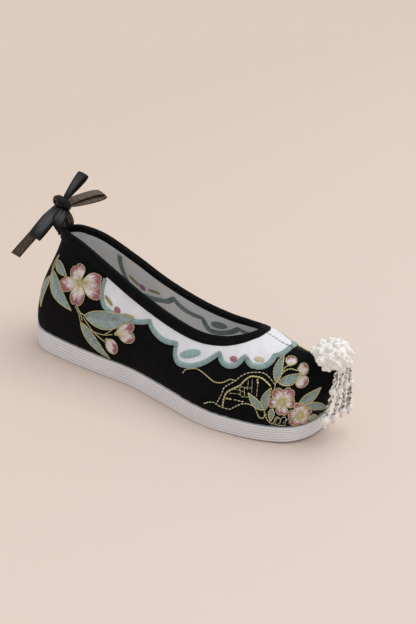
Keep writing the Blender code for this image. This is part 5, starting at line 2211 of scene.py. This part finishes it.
# %% Strings of glass and pearl
Strand = namedtuple("Strand", "top_x top_y top_z middle_x middle_y end_x end_y end_z pearl")
STRANDS = (
    Strand(131.4, -4.4, 52.9, 130.9, -6.7, 129.2, -11.2, 19.4, 3.0),
    Strand(133.4, -0.8, 52.8, 133.4, -2.0, 131.4, -3.2, 19.0, 2.6),
    Strand(134.6, 3.0, 54.6, 134.2, 4.2, 132.4, 4.6, 20.5, 2.5),
    Strand(134.0, 7.2, 56.0, 134.4, 10.0, 133.6, 11.8, 20.0, 2.5),
    Strand(131.6, 10.4, 53.5, 131.4, 14.0, 129.8, 18.0, 20.6, 2.5),
)
STRAND_MIDDLE_RISE = 20.0
MIDDLE_PEARL = 2.35
DROP_BEAD = 1.35
DROP_SPACING = 4.3
SEED_SPACING = 1.15
SEED_START = 0.3
SEED_TINTS = (1.0, 1.0, 1.0, 0.3)
SEED_RADIUS = 0.78
PAIR_RADIUS = 0.82
PAIR_TURN = math.radians(48)

seeds, pearls = Beads(), Beads()
for row in STRANDS:
    heights = (row.end_z, row.end_z + STRAND_MIDDLE_RISE, row.top_z)
    line = ((row.end_x, row.end_y), (row.middle_x, row.middle_y), (row.top_x, row.top_y))

    def on_strand(height):
        return np.array((*at_lengths(line, heights, [height])[0], height))

    pearls.add(on_strand(row.end_z), row.pearl)
    pearls.add(on_strand(heights[1]), MIDDLE_PEARL)
    pearls.add(on_strand(row.end_z) - UP * DROP_SPACING, DROP_BEAD)
    turn = DICE.uniform(0.0, math.pi)
    runs = ((row.end_z + row.pearl, heights[1] - MIDDLE_PEARL), (heights[1] + MIDDLE_PEARL, row.top_z))
    for low, high in runs:
        for height in np.arange(low + SEED_START, high, SEED_SPACING):
            turn += PAIR_TURN
            beside = np.array((math.cos(turn), math.sin(turn), 0.0)) * PAIR_RADIUS
            for half in (-1, 1):
                seeds.add(on_strand(height) + half * beside, SEED_RADIUS, DICE.choice(SEED_TINTS))
nodes = [f"fringe_strand_{number}" for number in range(1, len(STRANDS) + 1)]
dress(seeds.string("strand_seeds", GLASS), "pearl_white", *nodes)
dress(pearls.string("strand_pearls", PEARL, 28, 18), "pearl_white", *nodes)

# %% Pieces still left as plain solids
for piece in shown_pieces():
    if "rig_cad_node" in piece:
        print("still a plain solid", piece.name)
